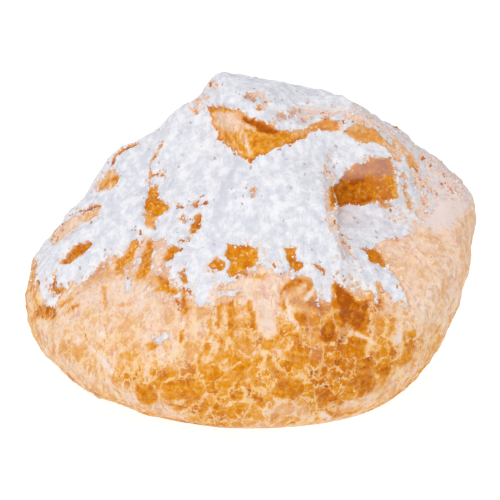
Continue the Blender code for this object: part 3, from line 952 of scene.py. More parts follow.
class GeometryNodes(Nodes):
    """Adds nodes to a geometry tree."""

    def attribute(self, name, kind="FLOAT"):
        return self.add("GeometryNodeInputNamedAttribute", {"Name": name}, data_type=kind).outputs[0]

    def position(self):
        return self.add("GeometryNodeInputPosition").outputs[0]

    def place_mm(self):
        """Each point's position, in millimetres."""
        return self.scale(self.position(), 1 / MM)

    def random(self, low, high, seed):
        """A number of its own for each point."""
        return self.add("FunctionNodeRandomValue", {2: low, 3: high, 8: seed}, data_type="FLOAT").outputs[1]

    def moved(self, geometry, offset):
        return self.add("GeometryNodeSetPosition", {"Geometry": geometry, "Offset": offset}).outputs[0]

    def realized(self, geometry):
        return self.add("GeometryNodeRealizeInstances", {"Geometry": geometry}).outputs[0]

    def scatter(self, ground, density, shape, size, seed):
        """Copies of a shape on the ground, density of them on a square metre, each turned its own way."""
        inputs = {"Mesh": ground, "Density": density, "Seed": seed}
        spread = self.add("GeometryNodeDistributePointsOnFaces", inputs)
        turn = self.add("ShaderNodeCombineXYZ", {2: self.random(-math.pi, math.pi, seed)}).outputs[0]
        turn = self.add("FunctionNodeEulerToRotation", {0: turn}).outputs[0]
        inputs = {0: spread.outputs["Rotation"], 1: turn}
        rotation = self.add("FunctionNodeRotateRotation", inputs, rotation_space="LOCAL").outputs[0]
        inputs = {"Points": spread.outputs[0], "Instance": shape, "Rotation": rotation, "Scale": size}
        return self.add("GeometryNodeInstanceOnPoints", inputs).outputs[0]


def add_object(name, data):
    obj = bpy.data.objects.new(name, data)
    bpy.context.scene.collection.objects.link(obj)
    return obj


def bake_modifiers(obj):
    """Replace the object's mesh by what its modifiers make of it."""
    bpy.context.view_layer.update()
    graph = bpy.context.evaluated_depsgraph_get()
    mesh = bpy.data.meshes.new_from_object(obj.evaluated_get(graph))
    obj.modifiers.clear()
    obj.data = mesh


def start_tree(name, sizes):
    """Start a geometry tree with an input for each size: what adds nodes to it, and its inputs by name."""
    tree = bpy.data.node_groups.new(name, "GeometryNodeTree")
    tree.interface.new_socket("Geometry", in_out="INPUT", socket_type="NodeSocketGeometry")
    for size in sizes:
        kind = "NodeSocketInt" if isinstance(sizes[size], int) else "NodeSocketFloat"
        tree.interface.new_socket(size, in_out="INPUT", socket_type=kind)
    tree.interface.new_socket("Geometry", in_out="OUTPUT", socket_type="NodeSocketGeometry")
    nodes = GeometryNodes(tree)
    return nodes, nodes.add("NodeGroupInput").outputs


def run_tree(obj, nodes, sizes, geometry, material):
    """End the tree with this geometry, and make the object the plain mesh that comes out of it."""
    inputs = {"Geometry": nodes.realized(geometry), "Material": material}
    nodes.add("NodeGroupOutput", {0: nodes.add("GeometryNodeSetMaterial", inputs).outputs[0]})
    modifier = obj.modifiers.new(nodes.tree.name, "NODES")
    modifier.node_group = nodes.tree
    for item in nodes.tree.interface.items_tree:
        if item.in_out == "INPUT" and item.name in sizes:
            modifier[item.identifier] = sizes[item.name]
    bake_modifiers(obj)


def empty_material(name):
    """A material without nodes, and what adds nodes to it."""
    material = bpy.data.materials.new(name)
    material.use_nodes = True
    material.node_tree.nodes.clear()
    return material, ShaderNodes(material.node_tree)


def fine_copy(grain):
    """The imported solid's form, in a fine and even mesh whose edges are about as long as the grain."""
    mesh = bmesh.new()
    mesh.from_mesh(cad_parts[SOLID].data)
    bmesh.ops.remove_doubles(mesh, verts=mesh.verts, dist=NEXT_TO_NOTHING)
    data = bpy.data.meshes.new(CRUST)
    mesh.to_mesh(data)
    mesh.free()
    obj = add_object(CRUST, data)
    rounded = obj.modifiers.new("rounded", "SUBSURF")
    rounded.levels = rounded.render_levels = 1
    remesh = obj.modifiers.new("even_grain", "REMESH")
    remesh.mode = "VOXEL"
    remesh.voxel_size = grain
    smooth = obj.modifiers.new("soft_dough", "SMOOTH")
    smooth.iterations = 5
    bake_modifiers(obj)
    return obj


def flow_lines(points):
    """Coordinates that change slowly down the parcel's sides and fast across them, in metres."""
    out = points[:, :2]
    reach = np.linalg.norm(out, axis=1)
    way = out / np.maximum(reach, NEXT_TO_NOTHING)[:, None] * FLOW_RADIUS
    down = np.hypot(reach, CAD_BOX[1].z - points[:, 2]) * FLOW_STRETCH
    return np.column_stack([way, down])


class CrustPaint:
    """What is painted on each point of the crust's mesh, for its relief and its material to read.

    sugar is how thick the sugar lies, and negative where the crust is bare. The others go from 0 to 1: bake,
    dust, which also greys closed sugar as painted shade, and crackle; hollow, for a golden gap in the sugar;
    rim, for the pale line round a blotch; steep, for the cut's walls; and calm, where the material adds less
    of its own patches.
    """

    def __init__(self, obj, view):
        self.mesh = obj.data
        self.view = view
        self.points = read_vectors(self.mesh.vertices, "co")
        self.height = self.points[:, 2]
        self.upward = read_vectors(self.mesh.vertex_normals, "vector")[:, 2]
        self.flow = flow_lines(self.points)
        self.ground = BVHTree.FromObject(obj, bpy.context.evaluated_depsgraph_get())
        self.seen = view.shows(self.ground, self.points)
        self.pixels = view.pixels(self.points) + self.sway()
        self.lumps = noise_at(self.points, LUMP_SIZE, seed=5.0)
        self.drift = noise_at(self.points, DRIFT_SIZE, seed=11.0)
        self.calm, self.hollow, self.whole, self.rim = np.zeros((4, len(self.points)))

    def sway(self):
        """How far the edges of the marks stray at each point, in pixels of the photo."""
        coarse = np.column_stack([noise_at(self.points, SWAY_SIZE, seed) for seed in (31.0, 47.0)])
        fine = np.column_stack([noise_at(self.points, FINE_SWAY_SIZE, seed) for seed in (61.0, 83.0)])
        return SWAY_PIXELS * (coarse + FINE_SWAY_SHARE * fine)

    def sugar_edge(self):
        """The height of the sugar's lower edge below or above each point."""
        heights = {math.radians(angle): height for angle, height in SUGAR_EDGE_BEHIND.items()}
        for pixel in SUGAR_EDGE_SHOWN:
            point = self.view.hit(self.ground, pixel)
            if point:
                heights[math.atan2(point.y, point.x)] = point.z
        angles = sorted(heights)
        own = np.arctan2(self.points[:, 1], self.points[:, 0])
        return np.interp(own, angles, [heights[a] for a in angles], period=2 * math.pi)

    def area_depth(self, corners):
        """How far inside an area each point is, in pixels of the photo; negative outside it."""
        outline = np.array(corners, float)
        inside = inside_outline(self.pixels, outline)
        rim = path_distance(self.pixels, np.concatenate([outline, outline[:1]]))
        depth = np.where(inside, rim, -rim)
        return np.where(self.seen, depth, -np.abs(depth) - HIDDEN_GAP)

    def path_depth(self, corners, half_width):
        """How far inside a path's width each point is, in pixels of the photo; negative outside it."""
        path = np.array(corners, float)
        steps = []
        for a, b in zip(path, path[1:]):
            count = max(int(np.linalg.norm(b - a) / PATH_STEP), 1)
            steps.extend(a + (b - a) * k / count for k in range(count))
        steps.append(path[-1])
        hits = [self.view.hit(self.ground, pixel) for pixel in steps]
        spots = np.array([hit for hit in hits if hit])
        flat = path_distance(self.pixels, path)
        if len(spots) < 2:
            return np.where(self.seen, half_width - flat, -FAR_OUTSIDE)
        solid = path_distance(self.points, spots) * PIXELS_PER_METRE
        return half_width - np.where(self.seen, np.maximum(flat, LEAST_SOLID * solid), solid)

    def lay_first_coat(self):
        """Paint the sugar, the bake and the dust as they are all round the parcel, before any mark."""
        behind = smooth_step(self.points[:, 1], *BEHIND_FADE)
        sugar = SUGAR_SLOPE * (self.height - self.sugar_edge()) / MM
        sugar += STREAK_SUGAR * noise_at(self.flow, STREAK_SIZE) + self.lumps
        sugar += behind * BAY_SUGAR * noise_at(self.flow, BAY_SIZE, seed=3.0)
        gaps = smooth_step(noise_at(self.flow, GAP_SIZE, seed=17.0), *GAP_FADE)
        gaps *= smooth_step(sugar, *GAP_SUGAR_FADE)
        sugar -= behind * GAP_SUGAR * gaps

        # little sugar stays on what is steep, and none on what faces down
        sugar = np.minimum(sugar, (self.upward + DOWNWARD_SPARE) * UPWARD_SUGAR)
        self.sugar = np.clip(sugar, *SUGAR_RANGE)

        foot = smooth_step(self.height, *FOOT_FADE)
        underside = smooth_step(self.upward, *UNDERSIDE_FADE)
        drift_share = DRIFT_BAKE + BEHIND_BAKE * behind
        self.bake = FIRST_BAKE + FOOT_BAKE * foot + drift_share * self.drift + BEHIND_BAKE * behind * gaps
        self.bake += UNDERSIDE_BAKE * underside
        self.dust = smooth_step(self.sugar, *DUST_FADE) * FIRST_DUST * (1 - foot)

    def lay_mark(self, mark):
        """Change the sugar, the bake and the dust where a traced mark lies."""
        if mark.half_width == AREA:
            depth = self.area_depth(mark.points)
        else:
            depth = self.path_depth(mark.points, mark.half_width)
        depth_mm = depth / PIXELS_PER_METRE / MM
        if mark.sugar < KEPT:
            slope = np.where(depth > 0, mark.sugar, min(mark.sugar, LEAST_BARE)) * MARK_SLOPE
            self.sugar = np.minimum(self.sugar, slope * depth_mm + EDGE_SUGAR)
        elif mark.sugar > KEPT:
            self.sugar = np.maximum(self.sugar, mark.sugar * MARK_SLOPE * depth_mm)
        share = smooth_step(depth, -mark.soft, mark.soft)
        if mark.bake is not None:
            self.bake += share * (mark.bake - self.bake)
            self.calm = np.maximum(self.calm, share)
        if mark.dust is not None:
            self.dust += share * (mark.dust - self.dust)
        if mark.sugar == BARE and mark.bake and mark.bake >= GOLD:
            self.hollow = np.maximum(self.hollow, smooth_step(depth_mm, *HOLLOW_FADE))

    def lay_blotch(self, shade, outline):
        """Bake one blotch of glaze, with less bake and a pale line round it."""
        depth = self.area_depth(outline)
        share = smooth_step(depth, *BLOTCH_FADE)
        halo = smooth_step(depth, *HALO_FADE) * (1 - share)
        self.bake += share * (shade - self.bake) + HALO_BAKE * halo
        self.dust -= share * self.dust
        self.whole = np.maximum(self.whole, share)
        self.calm = np.maximum(self.calm, BLOTCH_CALM * share)
        self.rim = np.maximum(self.rim, smooth_step(np.abs(depth + RIM_GAP), *RIM_FADE))

    def write(self):
        """Write everything on the mesh, as attributes of its points."""
        crackle = smooth_step(self.height + DRIFT_HEIGHT * self.drift, *CRACKLE_FADE)
        crackle *= 1 - BLOTCH_CALM * self.whole
        crackle *= 1 - DARK_CALM * smooth_step(self.bake, *DARK_FADE)
        broken_line = (RIM_STRENGTH + RIM_LUMPS * self.lumps) * (1 - self.whole)
        steep = smooth_step(self.upward, *STEEP_FADE) * smooth_step(self.height, *CUT_FADE)
        values = {
            "sugar": self.sugar,
            "bake": np.clip(self.bake, 0.0, 1.0),
            "dust": np.clip(self.dust, 0.0, 1.0),
            "crackle": crackle,
            "rim": np.clip(self.rim * broken_line, 0.0, 1.0),
            "steep": steep,
            "hollow": self.hollow,
            "calm": self.calm,
        }
        for name, numbers in values.items():
            attribute = self.mesh.attributes.new(name, "FLOAT", "POINT")
            attribute.data.foreach_set("value", numbers.astype(np.float32))
        lines = self.mesh.attributes.new("flow", "FLOAT_VECTOR", "POINT")
        lines.data.foreach_set("vector", (self.flow / MM).astype(np.float32).ravel())


def paint_crust(obj, view):
    """Paint the first coat on the crust, then the marks over it, then the blotches."""
    paint = CrustPaint(obj, view)
    paint.lay_first_coat()
    for mark in MARKS.values():
        paint.lay_mark(mark)
    for shade, outline in BLOTCHES.values():
        paint.lay_blotch(shade, outline)
    paint.write()


def raise_crust(obj, settings, material):
    """Give the crust its blisters, streaks, veins and the thickness of its sugar."""
    sizes = {
        "Blister size": settings.blister_size / MM,
        "Blister depth": settings.blister_depth / MM,
        "Streak depth": settings.streak_depth / MM,
        "Vein height": settings.crack_height / MM,
        "Sugar depth": settings.sugar_depth / MM,
        "Hollow depth": settings.hollow_depth / MM,
    }
    nodes, given = start_tree("crust_relief", sizes)
    place = nodes.place_mm()
    covered = nodes.step(nodes.attribute("sugar"), -0.4, 0.9)
    in_blisters = nodes.scale(place, nodes.math("DIVIDE", 1.0, given["Blister size"]))
    blisters = nodes.times(nodes.cloud(in_blisters, "blisters"), given["Blister depth"])
    streaks = nodes.cloud(nodes.attribute("flow", "FLOAT_VECTOR"), "wrinkles")
    streaks = nodes.times(streaks, given["Streak depth"])
    gap, _ = nodes.scales(place, settings.crack_cell / MM)
    veins = nodes.times(nodes.step(gap, 0.75, 0.1), nodes.attribute("crackle"))
    veins = nodes.times(nodes.times(veins, given["Vein height"]), nodes.minus(1.0, covered))
    powder = nodes.times_plus(nodes.cloud(place, "powder"), 0.9, 1.0)
    heap = nodes.times(nodes.times(covered, powder), given["Sugar depth"])
    hollow = nodes.times(nodes.attribute("hollow"), given["Hollow depth"])
    relief = nodes.plus(nodes.plus(blisters, streaks), nodes.plus(veins, heap))
    relief = nodes.minus(relief, hollow)

    # no relief on the underside, which stays flat on the table
    relief = nodes.times(relief, nodes.step(nodes.axis(place, 2), 0.4, 4.0))
    normal = nodes.add("GeometryNodeInputNormal").outputs[0]
    raised = nodes.moved(given["Geometry"], nodes.scale(normal, nodes.times(relief, MM)))
    run_tree(obj, nodes, sizes, raised, material)


class CrustFinish:
    """The crust's material, from the dough up to the sugar on it. Its sizes are in millimetres."""

    def __init__(self, settings):
        self.settings = settings
        self.material, self.nodes = empty_material("baked_crust_and_sugar")
        nodes = self.nodes
        self.place = nodes.object_mm()
        self.elsewhere = nodes.scale(self.place, -1.0)
        self.flow = nodes.painted("flow", "Vector")
        self.crackle = nodes.painted("crackle")
        self.fine = nodes.cloud(self.place, "fine")
        self.mottle = nodes.cloud(self.place, "mottle")
        self.patch = nodes.cloud(self.place, "patch")
        self.streak = nodes.cloud(self.flow, "streak")
        self.gap, self.number = nodes.scales(self.place, settings.crack_cell / MM)
        self.small_gap, self.small_number = nodes.scales(self.place, settings.small_cell / MM)
        self.wide = nodes.step(nodes.cloud(self.place, "wide_veins"), -0.10, 0.14)
        self.broken = self.broken_scales()
        self.bake = self.baked()
        self.ragged = self.ragged_sugar()

    def broken_scales(self):
        """Where scales are broken into small ones: all of some scales, and the rest beside wide veins."""
        nodes = self.nodes
        second_number = nodes.math("FRACT", nodes.times(self.number, 7.3))
        beside_vein = nodes.times(nodes.step(self.gap, 0.9, 0.4), self.wide)
        broken = nodes.larger(nodes.step(second_number, 0.64, 0.66), beside_vein)
        return nodes.times(broken, self.crackle)

    def baked(self):
        """How far each spot is baked, with thin level layers where the dough was cut."""
        nodes = self.nodes
        wild = nodes.times_plus(nodes.painted("calm"), -0.62, 1.0)
        large = nodes.times_plus(self.patch, 1.5, nodes.times(self.streak, 0.7))
        bake = nodes.times_plus(large, wild, nodes.painted("bake"))
        own = nodes.minus(self.number, 0.5)
        bake = nodes.times_plus(own, nodes.times(self.crackle, 0.26), bake)
        bits = nodes.times_plus(self.small_number, 0.44, -0.24)
        bake = nodes.times_plus(bits, self.broken, bake)
        bake = nodes.times_plus(self.mottle, nodes.times_plus(self.crackle, -0.45, 1.1), bake)
        bake = nodes.times_plus(self.fine, 0.18, bake)
        level = nodes.vector("MULTIPLY", self.place, (0.2, 0.2, 1.0))
        layer = nodes.times(nodes.cloud(level, "layers"), nodes.painted("steep"))
        return nodes.times_plus(layer, 0.4, bake)

    def pale_crust(self):
        """Crust that the oven hardly coloured, in creamy, peach, rosy and floury patches."""
        nodes, settings = self.nodes, self.settings
        blush = nodes.step(nodes.cloud(self.place, "blush"), -0.09, 0.09)
        pale = nodes.blend(blush, settings.cream, settings.peach)
        rosy = nodes.step(nodes.cloud(self.elsewhere, "rosy"), 0.02, 0.09)
        pale = nodes.blend(nodes.times(rosy, 0.85), pale, settings.rose)
        floury = nodes.step(nodes.cloud(self.elsewhere, "floury"), -0.05, -0.12)
        pale = nodes.blend(nodes.times(floury, 0.8), pale, settings.dough)
        return nodes.blend(nodes.step(self.bake, 0.12, 0.0), pale, settings.dough)

    def glazed_crust(self):
        """The pale crust, and from golden to brown where it is baked further."""
        settings = self.settings
        glazed = self.nodes.ramp(self.bake, (
            (0.0, settings.dough), (0.30, settings.pale_gold), (0.43, settings.honey), (0.54, settings.gold),
            (0.70, settings.deep), (0.88, settings.brown), (1.0, settings.dark),
        ))
        return self.nodes.blend(self.nodes.step(self.bake, 0.22, 0.36), self.pale_crust(), glazed)

    def with_flecks(self, crust):
        """Small baked flecks and larger spots on the pale crust."""
        nodes = self.nodes
        flecks = nodes.step(nodes.cloud(self.flow, "flecks"), 0.08, 0.14)
        spots = nodes.step(nodes.cloud(nodes.scale(self.flow, -1.0), "spots"), 0.10, 0.15)
        flecks = nodes.times(nodes.larger(flecks, spots), nodes.step(self.bake, 0.5, 0.3))
        return nodes.blend(nodes.times(flecks, 0.7), crust, self.settings.fleck)

    def with_cracks(self, crust):
        """Thin dark cracks where the crust is pale."""
        nodes = self.nodes
        crack = nodes.math("ABSOLUTE", nodes.cloud(self.flow, "cracks"))
        cracked = nodes.step(nodes.cloud(self.place, "cracked"), 0.0, 0.10)
        crack = nodes.times(nodes.step(crack, 0.022, 0.006), cracked)
        crack = nodes.times(crack, nodes.step(self.bake, 0.56, 0.40))
        return nodes.blend(nodes.times(crack, 0.7), crust, self.settings.crack)

    def with_veins(self, crust):
        """Pale veins between the glazed scales and round the blotches, and crumbs of the same dough."""
        nodes = self.nodes
        vein = nodes.math("DIVIDE", self.gap, nodes.times_plus(self.wide, 0.35, 0.04))
        vein = nodes.times(nodes.step(vein, 1.0, 0.35), self.crackle)
        small_vein = nodes.times(nodes.step(self.small_gap, 0.21, 0.05), self.broken)
        clear = nodes.step(nodes.cloud(self.place, "small_veins"), -0.07, 0.03)
        veins = nodes.larger(vein, nodes.times(small_vein, clear))
        rim = nodes.step(nodes.times_plus(self.mottle, 1.2, nodes.painted("rim")), 0.45, 0.65)
        veins = nodes.larger(veins, rim)
        crumbs = nodes.step(nodes.cloud(self.place, "crumbs"), 0.06, 0.13)
        bare = nodes.times(nodes.painted("hollow"), nodes.step(self.bake, 0.76, 0.64))
        crumb_share = nodes.times_plus(bare, 0.4, nodes.times_plus(self.crackle, 0.12, 0.3))
        crumb_share = nodes.times(crumb_share, nodes.step(self.bake, 0.92, 0.74))
        veins = nodes.larger(veins, nodes.times(crumbs, crumb_share))
        return nodes.blend(nodes.times(veins, 0.78), crust, self.settings.vein)

    def ragged_sugar(self):
        """How thick the sugar lies, with a ragged edge."""
        nodes = self.nodes
        ragged = nodes.times_plus(self.mottle, 6.5, nodes.painted("sugar"))
        ragged = nodes.times_plus(self.streak, 3.2, ragged)
        return nodes.times_plus(self.fine, 2.8, ragged)

    def film_share(self):
        """How much of the crust's colour a thin film of powdered sugar hides."""
        nodes = self.nodes
        thinner = nodes.times_plus(nodes.painted("calm"), -0.3, 0.3)
        veil = nodes.times(nodes.step(self.ragged, -3.0, 0.0), thinner)
        dust = nodes.plus(nodes.painted("dust"), veil)
        dust = nodes.times(dust, nodes.times_plus(self.mottle, 1.6, 1.0))
        grains = nodes.times_plus(self.mottle, 1.2, nodes.minus(dust, 0.6))
        grains = nodes.times_plus(self.fine, 1.5, grains)
        grains = nodes.times(nodes.step(grains, -0.06, 0.10), nodes.step(dust, 0.03, 0.2))
        share = nodes.times_plus(grains, 0.34, nodes.times(dust, 0.85))
        return nodes.add("ShaderNodeClamp", {0: share, 1: 0.0, 2: 0.9}).outputs[0]

    def with_seared_edge(self, crust):
        """Brown hairlines close below the sugar."""
        nodes = self.nodes
        seared = nodes.times(nodes.step(self.ragged, -1.6, -0.4), nodes.step(self.fine, -0.02, 0.08))
        seared = nodes.times(seared, nodes.step(self.streak, -0.14, 0.02))
        return nodes.blend(nodes.times(seared, 0.6), crust, self.settings.brown)

    def sugar_cover(self):
        """Where the sugar hides the crust: above its ragged edge, apart from holes close to it."""
        nodes = self.nodes
        near_edge = nodes.step(nodes.painted("sugar"), 3.4, 0.4)
        gap, number = nodes.scales(self.place, HOLE_CELL)
        holed = nodes.times(nodes.step(number, 0.72, 0.78), near_edge)
        holes = nodes.times(holed, nodes.step(gap, 0.16, 0.30))
        return nodes.times(nodes.step(self.ragged, -0.15, 0.15), nodes.minus(1.0, holes))

    def sugar_color(self):
        """Powdered sugar: greyer in its dips as painted shade, warmer where thin, and with dark pinholes."""
        nodes, settings = self.nodes, self.settings
        # painted light and shade: the sugar lighter on its facets and heaps, greyer in its dips and pits
        facet = nodes.minus(nodes.scales(self.place, FACET_CELL)[1], 0.5)
        light = nodes.times_plus(facet, 0.13, nodes.cloud(self.place, "painted_light_and_shade"))
        light = nodes.times_plus(nodes.cloud(self.flow, "pits"), 0.3, light)
        # dust greys the sugar here, as painted shade in creases and on the flap's side
        light = nodes.times_plus(nodes.minus(0.25, nodes.painted("dust")), 0.45, light)
        powder = nodes.blend(nodes.step(light, -0.20, 0.20), settings.sugar_in_painted_shade, settings.sugar)
        thin_streaks = nodes.step(nodes.cloud(self.flow, "thin_sugar"), -0.04, 0.12)
        thin = nodes.times(nodes.step(self.ragged, 2.6, 0.2), thin_streaks)
        powder = nodes.blend(nodes.times(thin, 0.55), powder, settings.thin_sugar)
        gap, number = nodes.scales(self.elsewhere, PINHOLE_CELL)
        pinholed = nodes.times_plus(nodes.step(self.patch, 0.0, 0.12), -0.10, 0.985)
        specks = nodes.times(nodes.math("GREATER_THAN", number, pinholed), nodes.step(gap, 0.10, 0.24))
        return nodes.blend(nodes.times(specks, 0.6), powder, settings.speck)

    def finish(self):
        """Lay the layers over each other, with a soft gloss on the glaze, and return the material."""
        nodes = self.nodes
        crust = self.with_veins(self.with_cracks(self.with_flecks(self.glazed_crust())))
        film_share = self.film_share()
        crust = self.with_seared_edge(nodes.blend(film_share, crust, self.settings.film))
        cover = self.sugar_cover()
        color = nodes.blend(cover, crust, self.sugar_color())
        glaze = nodes.step(nodes.minus(self.bake, film_share), 0.4, 0.7)
        rough = nodes.larger(nodes.times_plus(glaze, -0.3, 0.8), nodes.times(cover, 0.95))
        height = nodes.times_plus(cover, 0.35, nodes.times_plus(self.fine, 0.8, self.mottle))
        nodes.surface(color, rough, shine=0.09, height=height, bump_strength=0.45, bump_depth=0.0004)
        return self.material


def strew_clumps(obj, settings, material):
    """Turn the object, a copy of the crust, into the loose clumps of sugar that lie on it."""
    sizes = {
        "Per square metre": settings.per_cm2 * CM2_PER_M2,
        "On sugar": settings.on_sugar,
        "On dust": settings.on_dust,
        "Clump size": settings.clump_size,
        "Seed": settings.seed,
    }
    nodes, given = start_tree("sugar_clumps", sizes)
    place = nodes.place_mm()
    sugar = nodes.attribute("sugar")
    edge = nodes.times(nodes.step(sugar, -2.0, 0.0), nodes.step(sugar, 2.4, 0.4))
    on_sugar = nodes.times(nodes.step(sugar, 0.2, 1.2), given["On sugar"])
    on_dust = nodes.times(nodes.attribute("dust"), given["On dust"])
    share = nodes.larger(nodes.larger(edge, on_sugar), on_dust)
    patches = nodes.step(nodes.cloud(place, "clump_patches"), -0.04, 0.14)
    above_foot = nodes.step(nodes.axis(place, 2), 4.0, 16.0)
    share = nodes.times(nodes.times(share, patches), above_foot)
    density = nodes.times(share, given["Per square metre"])

    inputs = {"Radius": given["Clump size"], "Subdivisions": 1}
    clump = nodes.add("GeometryNodeMeshIcoSphere", inputs).outputs[0]
    small = nodes.math("POWER", nodes.random(0.0, 1.0, given["Seed"]), 2.5)
    size = nodes.times_plus(small, 0.8, 0.2)
    clumps = nodes.scatter(given["Geometry"], density, clump, size, given["Seed"])
    push = nodes.scale(nodes.tangle(place, *NOISE["clump_bumps"]), nodes.times(given["Clump size"], 0.9))
    run_tree(obj, nodes, sizes, nodes.moved(nodes.realized(clumps), push), material)


def strew_flakes(obj, settings, material):
    """Turn the object, a copy of the crust, into the loose flakes that lie on it."""
    sizes = {
        "Per square metre": settings.per_cm2 * CM2_PER_M2,
        "Flake length": settings.flake_length,
        "Seed": settings.seed,
    }
    nodes, given = start_tree("loose_flakes", sizes)
    place = nodes.place_mm()
    sugar = nodes.attribute("sugar")
    edge = nodes.times(nodes.step(sugar, -3.0, -0.2), nodes.step(sugar, 4.0, 1.0))
    patches = nodes.step(nodes.cloud(place, "flake_patches"), -0.02, 0.12)
    on_top = nodes.step(nodes.axis(place, 2), 14.0, 22.0)
    share = nodes.times(nodes.times(edge, patches), on_top)
    density = nodes.times(share, given["Per square metre"])

    # a thin plate, one long, that curls up at its ends
    plate = nodes.add("GeometryNodeMeshCube", {
        "Size": (1.0, 0.55, 0.12), "Vertices X": 4, "Vertices Y": 3, "Vertices Z": 2,
    }).outputs[0]
    along = nodes.axis(nodes.position(), 0)
    curl = nodes.times(nodes.times(along, along), 0.9)
    plate = nodes.moved(plate, nodes.add("ShaderNodeCombineXYZ", {2: curl}).outputs[0])

    small = nodes.math("POWER", nodes.random(0.0, 1.0, given["Seed"]), 1.6)
    size = nodes.times(nodes.times_plus(small, 0.7, 0.3), given["Flake length"])
    flakes = nodes.scatter(given["Geometry"], density, plate, size, given["Seed"])
    shade = nodes.random(0.0, 1.0, nodes.plus(given["Seed"], 1.0))
    inputs = {"Geometry": flakes, "Name": "shade", "Value": shade}
    flakes = nodes.add("GeometryNodeStoreNamedAttribute", inputs, domain="INSTANCE").outputs[0]
    push = nodes.scale(nodes.tangle(place, *NOISE["flake_bends"]), nodes.times(given["Flake length"], 0.45))
    run_tree(obj, nodes, sizes, nodes.moved(nodes.realized(flakes), push), material)


def sugar_material(settings):
    """Loose sugar: white, with grains that catch the light unevenly."""
    material, nodes = empty_material("loose_sugar")
    place = nodes.object_mm()
    grain = nodes.cloud(place, "sugar_grain")
    bright = nodes.times_plus(grain, 0.3, 1.02)
    bright = nodes.times_plus(nodes.cloud(place, "sugar_shades"), 0.3, bright)
    color = nodes.scale(settings.sugar[:3], bright)
    nodes.surface(color, roughness=0.95, shine=0.15, height=grain, bump_strength=0.5, bump_depth=0.0001)
    return material


def flake_material(settings):
    """Loose flakes: each its own shade of crust, browner at its spots."""
    material, nodes = empty_material("loose_crust")
    spots = nodes.cloud(nodes.object_mm(), "flake_spots")
    shade = nodes.times_plus(spots, 1.2, nodes.painted("shade"))
    color = nodes.ramp(shade, (
        (0.0, settings.film), (0.35, settings.rose), (0.6, settings.fleck), (0.85, settings.brown),
    ))
    nodes.surface(color, roughness=0.6, shine=0.2, height=spots, bump_strength=0.5, bump_depth=0.0002)
    return material


class PASTRY_OT_make_crust(bpy.types.Operator):
    """Make the crust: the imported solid's form with its blisters, layers, veins and sugar"""

    bl_idname = "pastry.make_crust"
    bl_label = "Make the crust"

    def execute(self, context):
        settings = context.scene.pastry_crust
        crust = fine_copy(settings.grain)
        paint_crust(crust, PhotoView(context.scene.pastry_stage))
        raise_crust(crust, settings, CrustFinish(settings).finish())
        crust.data.shade_smooth()
        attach(crust, "root")
        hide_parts(SOLID)
        return {"FINISHED"}


def copy_of_crust(name):
    """A copy of the finished crust, for what is strewn on it."""
    if CRUST not in bpy.data.objects:
        raise RuntimeError("The crust has to be made first")
    return add_object(name, bpy.data.objects[CRUST].data.copy())


class PASTRY_OT_scatter_sugar(bpy.types.Operator):
    """Strew loose clumps of sugar, most of them along the sugar's edge"""

    bl_idname = "pastry.scatter_sugar"
    bl_label = "Strew sugar clumps"

    def execute(self, context):
        clumps = copy_of_crust("sugar_clumps")
        strew_clumps(clumps, context.scene.pastry_sugar, sugar_material(context.scene.pastry_crust))
        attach(clumps, "root")
        return {"FINISHED"}


class PASTRY_OT_scatter_flakes(bpy.types.Operator):
    """Strew small curled flakes of crust along the sugar's edge"""

    bl_idname = "pastry.scatter_flakes"
    bl_label = "Strew flakes"

    def execute(self, context):
        flakes = copy_of_crust("loose_flakes")
        strew_flakes(flakes, context.scene.pastry_flakes, flake_material(context.scene.pastry_crust))
        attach(flakes, "root")
        return {"FINISHED"}


def add_area_light(name, place, size, power):
    """A round light that shines on the pastry."""
    light = bpy.data.lights.new(name, "AREA")
    light.shape = "DISK"
    light.size = size
    light.energy = power
    obj = add_object(name, light)
    obj.location = place
    obj.rotation_euler = (AIM - Vector(place)).to_track_quat("-Z", "Y").to_euler()


def add_camera(stage):
    view = PhotoView(stage)
    camera = bpy.data.cameras.new("camera")
    camera.sensor_width = SENSOR
    camera.lens = SENSOR * view.focal / PHOTO_SIDE
    obj = add_object("camera", camera)
    obj.location = view.place
    obj.rotation_euler = (-view.back).to_track_quat("-Z", "Y").to_euler()
    bpy.context.scene.camera = obj


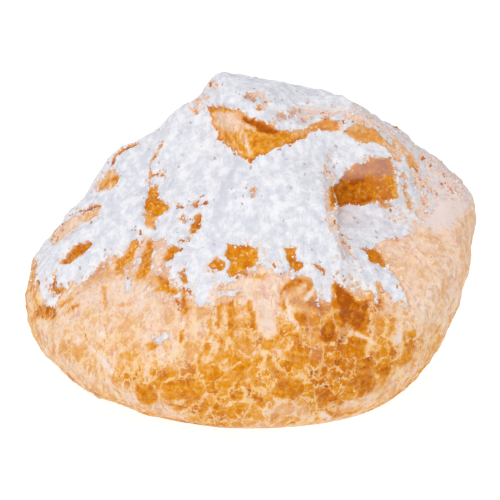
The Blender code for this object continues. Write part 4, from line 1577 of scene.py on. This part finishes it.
def add_floor(stage):
    mesh = bmesh.new()
    bmesh.ops.create_grid(mesh, x_segments=1, y_segments=1, size=stage.floor_size / 2)
    data = bpy.data.meshes.new("floor")
    mesh.to_mesh(data)
    mesh.free()
    floor = add_object("floor", data)
    material = bpy.data.materials.new("pale_floor")
    material.use_nodes = True
    inputs = material.node_tree.nodes["Principled BSDF"].inputs
    inputs["Base Color"].default_value = (*stage.floor_color, 1.0)
    inputs["Roughness"].default_value = 0.9
    inputs["Emission Color"].default_value = WHITE
    inputs["Emission Strength"].default_value = stage.floor_glow
    data.materials.append(material)


def light_room(scene, strength):
    """Even white light from all round."""
    world = bpy.data.worlds.new("room")
    world.use_nodes = True
    inputs = world.node_tree.nodes["Background"].inputs
    inputs["Color"].default_value = WHITE
    inputs["Strength"].default_value = strength
    scene.world = world


class PASTRY_OT_set_stage(bpy.types.Operator):
    """Set up the camera, a pale floor and soft light"""

    bl_idname = "pastry.set_stage"
    bl_label = "Set the stage"

    def execute(self, context):
        stage = context.scene.pastry_stage
        add_camera(stage)
        add_floor(stage)
        add_area_light("key_light", KEY_LIGHT_PLACE, KEY_LIGHT_SIZE, stage.key)
        light_room(context.scene, stage.sky)
        context.scene.view_settings.view_transform = "Standard"
        return {"FINISHED"}


class VIEW3D_PT_pastry(bpy.types.Panel):
    """Lists the pieces that can be made"""

    bl_label = "Pastry"
    bl_space_type = "VIEW_3D"
    bl_region_type = "UI"
    bl_category = "Pastry"

    def draw(self, context):
        for operator in OPERATORS:
            self.layout.operator(operator.bl_idname)


SETTINGS = {
    "pastry_crust": PastryCrustSettings,
    "pastry_sugar": PastrySugarSettings,
    "pastry_flakes": PastryFlakeSettings,
    "pastry_stage": PastryStageSettings,
}
OPERATORS = (PASTRY_OT_make_crust, PASTRY_OT_scatter_sugar, PASTRY_OT_scatter_flakes, PASTRY_OT_set_stage)
CLASSES = (*SETTINGS.values(), *OPERATORS, VIEW3D_PT_pastry)


def register():
    for cls in CLASSES:
        bpy.utils.register_class(cls)
    for name, cls in SETTINGS.items():
        setattr(bpy.types.Scene, name, PointerProperty(type=cls))


def unregister():
    for name in SETTINGS:
        delattr(bpy.types.Scene, name)
    for cls in reversed(CLASSES):
        bpy.utils.unregister_class(cls)


def main():
    register()
    bpy.ops.pastry.make_crust()
    bpy.ops.pastry.scatter_sugar()
    bpy.ops.pastry.scatter_flakes()
    bpy.ops.pastry.set_stage()


if __name__ == "__main__":
    main()
